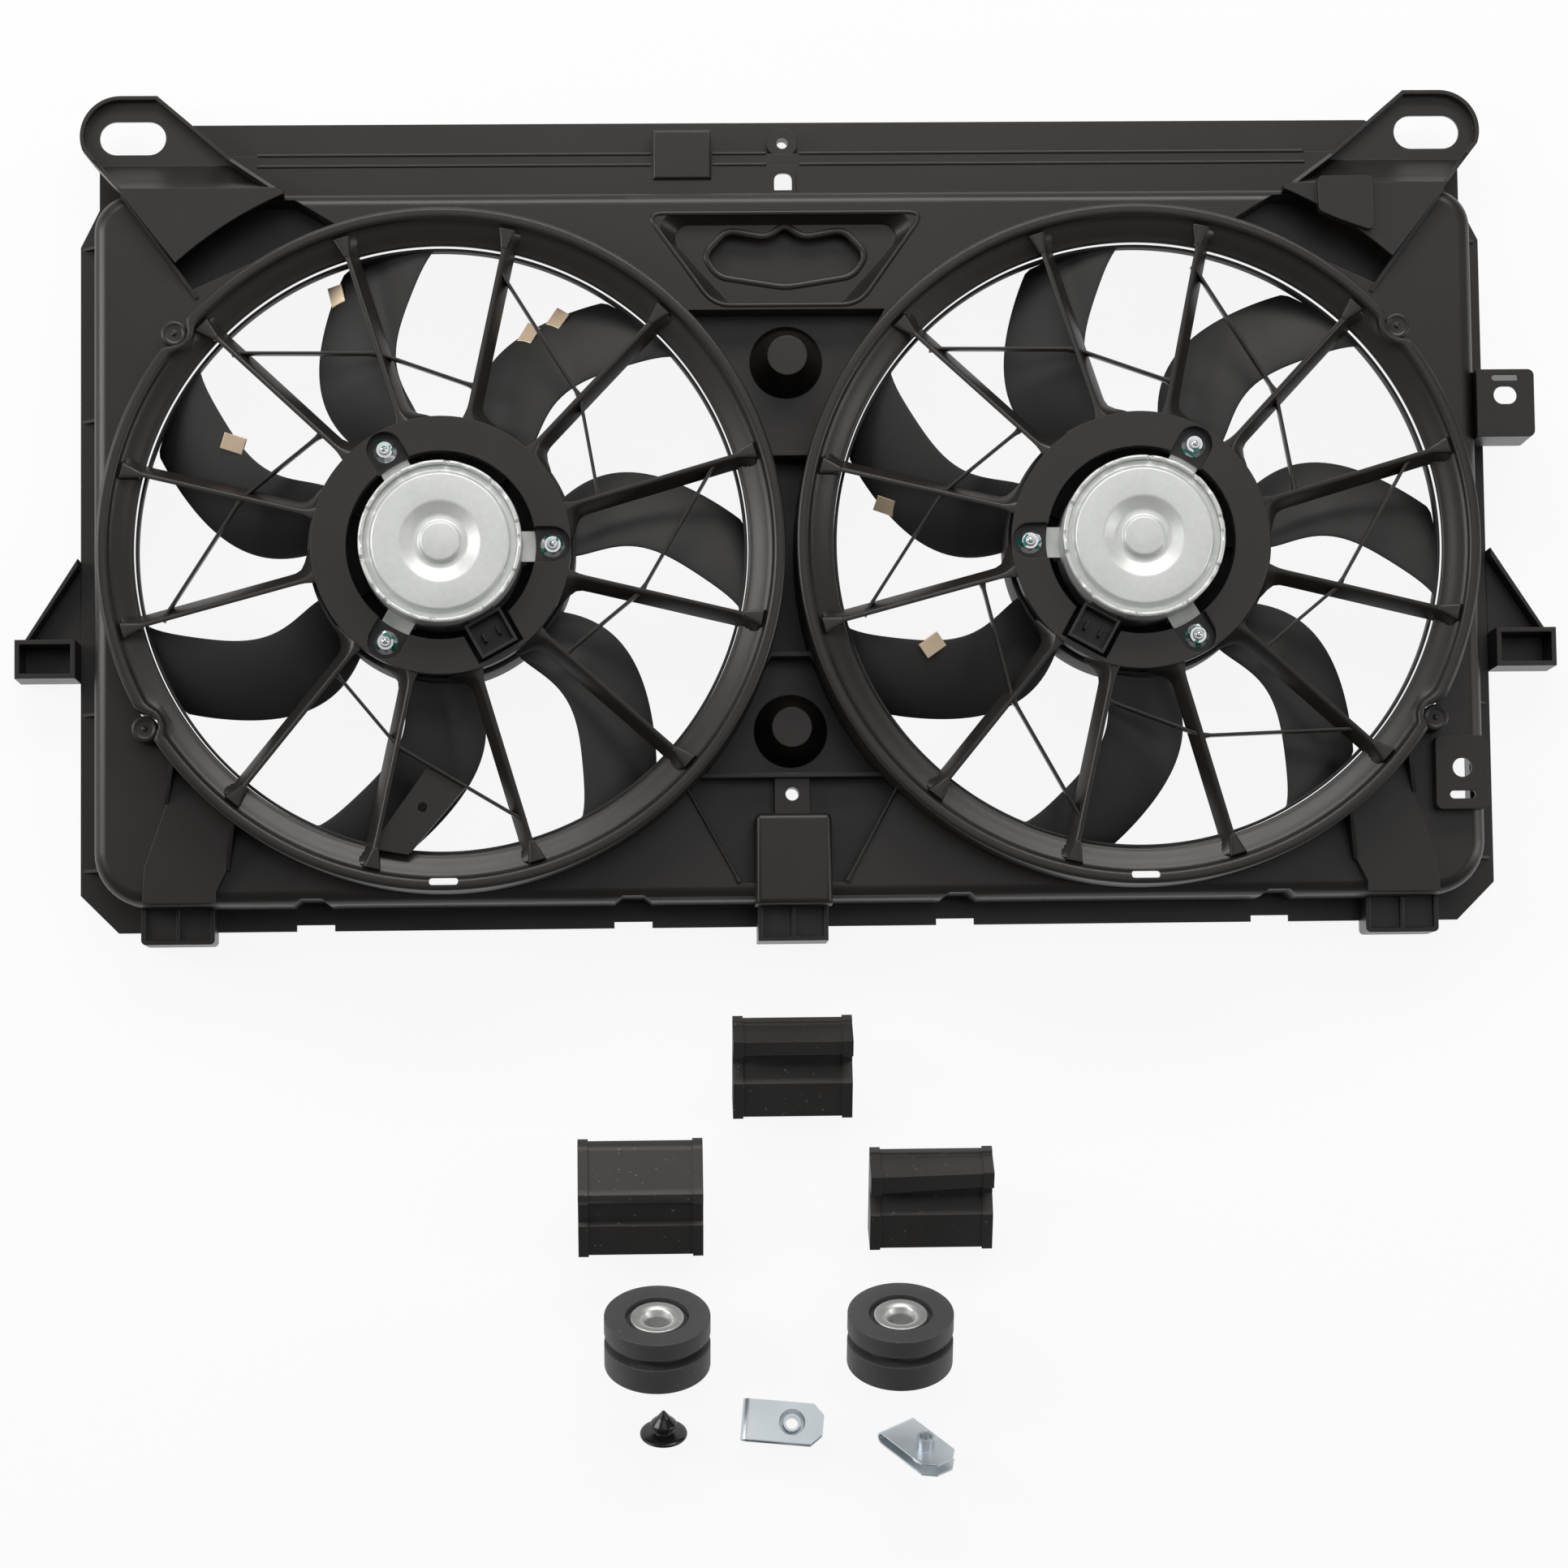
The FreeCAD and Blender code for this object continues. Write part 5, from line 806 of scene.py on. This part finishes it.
galvanised = plated_steel("galvanised_steel", (0.56, 0.58, 0.565), (0.76, 0.78, 0.76),
                          0.50, 0.36, 0.25, 0.20)
zinc = plated_steel("zinc_plate", ZINC_DARK, ZINC_PALE, 0.90, 0.18, 0.15, 0.10)

CAN_PROFILE = rounded_path([
    (5.0, NOSE_LOW), (NOSE_R, NOSE_LOW), (NOSE_R, CAN_LOW), (CAN_R, CAN_LOW), (CAN_R, MOTOR_TOP),
    (47.4, MOTOR_TOP), (47.4, MOTOR_TOP - 3.2), (48.1, MOTOR_TOP - 3.4), (48.1, CAN_LOW + 2.2),
    (9.0, CAN_LOW + 2.2), (9.0, NOSE_LOW + 2.2), (5.0, NOSE_LOW + 2.2),
], 1.6, 5)
CAP_PROFILE = rounded_path([
    (0.0, MOTOR_TOP - 1.1), (CAN_R * 0.24, MOTOR_TOP - 1.2), (13.0, MOTOR_TOP - 4.2), (16.8, MOTOR_TOP - 4.4),
    (25.0, MOTOR_TOP - 0.5), (42.2, MOTOR_TOP - 0.5), (43.6, MOTOR_TOP - 3.4), (47.9, MOTOR_TOP - 3.6),
    (47.9, MOTOR_TOP - 5.6), (41.0, MOTOR_TOP - 5.7), (41.0, MOTOR_TOP - 3.0), (25.5, MOTOR_TOP - 3.0),
    (18.4, MOTOR_TOP - 6.6), (12.4, MOTOR_TOP - 6.6), (12.4, MOTOR_TOP - 10.0), (9.0, MOTOR_TOP - 10.0),
    (9.0, MOTOR_TOP - 3.6), (0.0, MOTOR_TOP - 3.6),
], 1.1, 5, False)


def can_grid(side, turns=360):
    """The can's profile round its axis. At even steps the crimped rim dips in a narrow
    notch, the root of a triangle, and beside it in a wider and lower step."""
    grid, rows, columns = lathe(CAN_PROFILE, side * FAN_X, turns)
    angle = np.linspace(0.0, 2 * pi, turns, endpoint=False)[:, None]
    phase = (angle * CRIMP_NOTCHES / (2 * pi) + 0.15) % 1.0
    notch = np.clip(1.0 - np.abs(phase - 0.5) / 0.055, 0.0, 1.0) ** 0.5
    step = np.clip(1.0 - np.abs(phase - 0.16) / 0.10, 0.0, 1.0) ** 0.3
    rim = (CAN_PROFILE[:, 1] > MOTOR_TOP - CRIMP_DEPTH)[None, :]
    grid[..., 2] -= rim * (notch * NOTCH_DEPTH + step * STEP_DEPTH)
    return grid, rows, columns


def hex_grid(flats, z0, z1, bore, centre, skirt=0.0, skirt_r=0.0, turns=96):
    """A nut: each level's radius, held inside the hexagon (half the flats over the cosine
    from the middle of a flat) above the skirt, and cut by a cone at the top."""
    angle = np.linspace(0.0, 2 * pi, turns, endpoint=False)[:, None]
    flat = (flats / 2) / np.cos((angle + pi / 6) % (pi / 3) - pi / 6)
    spread = skirt_r or flats
    level = np.array([
        (bore, z0), (spread, z0), (spread, z0 + skirt * 0.5), (flats, z0 + skirt), (flats, z0 + skirt + 0.4),
        (flats, z1 - 0.9), (flats * 0.52, z1), (bore + 0.5, z1), (bore, z1 - 0.5),
    ])
    r = np.broadcast_to(level[:, 0][None, :], (turns, len(level))).copy()
    hexed = (level[:, 1] > z0 + skirt * 0.9) & (level[:, 0] > bore + 1.0)
    r[:, hexed] = np.minimum(r[:, hexed], flat)
    r[:, 6] = np.minimum(r[:, 6], flats * 0.50)
    x, y = centre[0] + r * np.cos(angle), centre[1] + r * np.sin(angle)
    return np.stack([x, y, level[:, 1][None, :] + 0 * angle], -1), True, True


def thread_grid(r, pitch, z0, z1, centre, turns=20):
    """A threaded rod: the radius follows a triangle wave along a helix, with a domed end."""
    z = np.linspace(z0, z1, int((z1 - z0) / pitch * 8))[:, None]
    angle = np.linspace(0.0, 2 * pi, turns, endpoint=False)[None, :]
    wave = np.abs(((z / pitch - angle / (2 * pi)) % 1.0) - 0.5) * 2
    radius = r - THREAD_DEPTH * wave - np.clip(z - z1 + 0.8, 0.0, None)
    x, y = centre[0] + radius * np.cos(angle), centre[1] + radius * np.sin(angle)
    grid = np.stack([x, y, z + 0 * angle], -1)
    middle = np.array([centre[0], centre[1], 0.0])
    dome = [middle + (grid[-1:] - middle) * [share, share, 1.0] + [0.0, 0.0, rise]
            for share, rise in ((0.8, 0.45), (0.45, 0.75), (0.0, 0.85))]
    low = np.repeat(grid[0].mean(0)[None, None], grid.shape[1], 1)
    return np.concatenate([low, grid] + dome), False, True


def nut_finish():
    """Zinc with a dab of green thread paint over part of each nut."""
    f = Finish("zinc_nut")
    cloud = f.noise(140.0, 3.0)
    dab = f.ramp(f.noise(170.0, 1.0), (0.585, BLACK), (0.60, WHITE))
    f.set(Base_Color=f.mix(dab, f.mix(cloud, ZINC_DARK, ZINC_PALE), THREAD_PAINT),
          Metallic=(1.0 - dab) * 0.9, Roughness=cloud * 0.12 + 0.16)
    f.set(Normal=f.bump(cloud, 0.1, 0.00005))
    return f.material


zinc_nut = nut_finish()
for label, side in SIDES:
    cap = lathe(CAP_PROFILE, side * FAN_X, 192, 0.0, False)
    for base, grid in (("motor_can_", can_grid(side)), ("motor_end_cap_", cap)):
        node = base + label
        finished(node + "_skin", surface_mesh(node, [grid]), galvanised, "shroud", (node,))
    grids = []
    for k in range(3):
        angle = radians(BOLT_START[label] + 120.0 * k)
        centre = (side * FAN_X + BOLT_CIRCLE_R * cos(angle), BOLT_CIRCLE_R * sin(angle))
        grids.append(hex_grid(NUT_FLATS, NUT_FLOOR, NUT_TOP, STUD_R, centre, NUT_SKIRT, NUT_SKIRT_R))
        grids.append(thread_grid(STUD_R - STUD_CLEAR, THREAD_PITCH, NUT_FLOOR - 1.0, NUT_TOP + 3.0, centre))
    finished("flange_nuts_" + label + "_skin", surface_mesh("flange_nuts_" + label, grids), zinc_nut,
             "shroud", ("flange_nuts_" + label,))
    fan_nut = hex_grid(FAN_NUT_FLATS, FAN_FACE - FAN_NUT_H, FAN_FACE, SHAFT_R, (side * FAN_X, 0.0))
    finished("fan_nut_" + label + "_skin", surface_mesh("fan_nut_" + label, [fan_nut]), zinc,
             "fan_" + label, ("fan_nut_" + label,))
    smoothed_copy("motor_brackets_" + label, galvanised)
    smoothed_copy("connector_" + label, moulding)


# Loose fittings: rubber pads, grooved bushes with flanged sleeves, a push
# plug and two folded clip nuts, each tipped back on its lower edge.

KIT_TIP = radians(57.0)
BUSH_R = 33.1
BUSH_H = 36.5
SLEEVE_R = 9.6
SLEEVE_BORE_R = 7.8
RUBBER_EDGE_R = 0.0007
RUBBER_DUST = (0.30, 0.29, 0.27)


def rubber(name, deep, pale, rough, grain):
    """Dull black: cloudy tone, a few pale crumbs, fine bumps and rounded edges."""
    f = Finish(name)
    cloud = f.noise(30.0, 4.0)
    dust = f.ramp(f.noise(420.0, 1.0), (0.735, BLACK), (0.76, WHITE))
    f.set(Base_Color=f.mix(dust * 0.4, f.mix(cloud, deep, pale), RUBBER_DUST),
          Roughness=cloud * 0.12 + rough)
    rounded = f.node("ShaderNodeBevel", BEVEL_SAMPLES, {"Radius": RUBBER_EDGE_R})
    f.set(Normal=f.bump(f.noise(1300.0, 3.0), grain, 0.00015, rounded))
    return f.material


pad_rubber = rubber("pad_rubber", (0.018, 0.0165, 0.0155), (0.027, 0.025, 0.0235), 0.42, 0.35)
bush_rubber = rubber("bush_rubber", (0.050, 0.050, 0.051), (0.066, 0.066, 0.068), 0.50, 0.45)
sleeve_metal = plated_steel("drawn_sleeve", (0.56, 0.57, 0.56), (0.76, 0.77, 0.76), 0.75, 0.30, 0.1, 0.15)
clip_zinc = plated_steel("clip_zinc", (0.52, 0.58, 0.62), (0.76, 0.81, 0.84), 0.80, 0.26, 0.05, 0.12)

for node in ("pad_hook", "pad_step", "pad_slant"):
    smoothed_copy(node, pad_rubber)
smoothed_copy("clip_nuts", clip_zinc)


def tipped(grid):
    """Points tipped back about X, so that what stood up leans away at KIT_TIP."""
    c, s = cos(KIT_TIP), sin(KIT_TIP)
    return grid @ np.array([[1.0, 0.0, 0.0], [0.0, c, -s], [0.0, s, c]])


def offset_to(grid, node):
    """The shift that lays a grid's box over a CAD node's box."""
    low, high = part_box(node)
    own_low, own_high = grid.reshape(-1, 3).min(0), grid.reshape(-1, 3).max(0)
    middle = (np.array(low) + np.array(high)) / 2 / MM
    shift = middle - (own_low + own_high) / 2
    shift[2] = low.z / MM - own_low[2]
    return shift


BUSH_RECESS = BUSH_H - 5.0
BUSH_PROFILE = rounded_path([
    (SLEEVE_R, 0.0), (BUSH_R, 0.0), (BUSH_R, 17.2), (25.1, 17.4), (25.1, 24.2), (BUSH_R, 24.2),
    (BUSH_R, BUSH_H), (19.8, BUSH_H), (19.8, BUSH_RECESS), (SLEEVE_R, BUSH_RECESS),
], 0.8, 4)
SLEEVE_PROFILE = rounded_path([
    (SLEEVE_BORE_R, 0.0), (SLEEVE_R, 0.0), (SLEEVE_R, BUSH_RECESS), (16.7, BUSH_RECESS), (16.7, BUSH_H - 1.2),
    (12.6, BUSH_H - 1.3), (9.8, BUSH_H - 2.4), (SLEEVE_BORE_R, BUSH_H - 6.5),
], 0.9, 5)
PLUG_PROFILE = rounded_path([
    (0.0, 0.0), (14.8, 0.0), (14.8, 1.4), (13.2, 2.3), (6.0, 2.8), (5.3, 5.4), (8.1, 6.9), (8.3, 8.7),
    (7.4, 9.8), (4.0, 13.2), (0.9, 17.6), (0.0, 18.0),
], 0.5, 4, False)
for label, _ in SIDES:
    rubber_grid = tipped(lathe(BUSH_PROFILE, 0.0)[0])
    sleeve_grid = tipped(lathe(SLEEVE_PROFILE, 0.0, 96)[0])
    shift = offset_to(rubber_grid, "bush_rubber_" + label)
    for base, grid, material, slot in (("bush_rubber_", rubber_grid, bush_rubber, "bush_rubber"),
                                       ("bush_sleeve_", sleeve_grid, sleeve_metal, "sleeve_metal")):
        node = base + label
        mesh = surface_mesh(node, [(grid + shift, True, True)])
        finished(node + "_skin", mesh, material, "shroud", (node,))

gloss = black_plastic("plug_black", (0.010, 0.010, 0.011), (0.014, 0.014, 0.015), 0.16, 0.24, 0.05)
plug_grid = tipped(lathe(PLUG_PROFILE, 0.0, 96, 0.0, False)[0])
plug_grid = plug_grid + offset_to(plug_grid, "push_plug")
finished("push_plug_skin", surface_mesh("push_plug", [(plug_grid, True, False)]), gloss,
         "shroud", ("push_plug",))


# Balance clips, folded from thin plated strip and pressed on the blades, and
# the nodes that keep their CAD shape, which the cans hide.

champagne = plated_steel("clip_plate", (0.58, 0.44, 0.29), (0.84, 0.69, 0.50), 0.55, 0.28, 0.1, 0.2)
ground_steel = plated_steel("ground_steel", (0.40, 0.40, 0.41), (0.58, 0.58, 0.60), 0.95, 0.22, 0.05, 0.1)
copper = plated_steel("copper_wire", (0.40, 0.16, 0.07), (0.62, 0.28, 0.13), 0.9, 0.3, 0.1, 0.4)
bronze = plated_steel("oiled_bronze", (0.30, 0.20, 0.09), (0.42, 0.30, 0.15), 0.8, 0.35, 0.2, 0.2)
laminations = plated_steel("laminations", (0.20, 0.21, 0.22), (0.34, 0.35, 0.37), 0.8, 0.36, 0.1, 0.4)
ferrite = rubber("ferrite", (0.05, 0.05, 0.055), (0.08, 0.08, 0.085), 0.5, 0.3)
carbon = rubber("carbon", (0.02, 0.02, 0.02), (0.035, 0.035, 0.035), 0.6, 0.3)
CLIP_SHARE = 0.88


def short_clips(node):
    """The CAD clips, merged, each made shorter along its longest edge about its middle."""
    shape = bmesh.new()
    shape.from_mesh(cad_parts[node].data)
    bmesh.ops.remove_doubles(shape, verts=shape.verts, dist=WELD_REACH)
    bmesh.ops.dissolve_limit(shape, angle_limit=FLAT_ANGLE, verts=shape.verts, edges=shape.edges)
    left = set(shape.verts)
    while left:
        clip = set()
        to_visit = [min(left, key=lambda vertex: vertex.index)]
        while to_visit:
            vertex = to_visit.pop()
            if vertex not in clip:
                clip.add(vertex)
                to_visit += [edge.other_vert(vertex) for edge in vertex.link_edges]
        left -= clip
        clip = sorted(clip, key=lambda vertex: vertex.index)
        points = np.array([vertex.co for vertex in clip])
        middle = points.mean(0)
        edges = [edge for vertex in clip for edge in vertex.link_edges]
        longest = max(edges, key=lambda edge: edge.calc_length())
        along = np.array((longest.verts[1].co - longest.verts[0].co).normalized())
        points -= (1.0 - CLIP_SHARE) * ((points - middle) @ along)[:, None] * along
        for vertex, point in zip(clip, points):
            vertex.co = point
    mesh = bpy.data.meshes.new(node)
    shape.to_mesh(mesh)
    shape.free()
    return mesh


for label, _ in SIDES:
    node = "balance_clips_" + label
    finished(node + "_skin", short_clips(node), champagne, "fan_" + label, (node,))
kept = {
    "shaft": ground_steel, "armature": laminations, "windings": copper,
    "commutator": copper, "bearings": bronze, "magnets": ferrite, "brush_card": moulding, "brushes": carbon,
}
for base, material in kept.items():
    for label, _ in SIDES:
        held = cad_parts[base + "_" + label].data
        held.materials.clear()
        held.materials.append(material)

bpy.context.scene.view_settings.view_transform = "Standard"
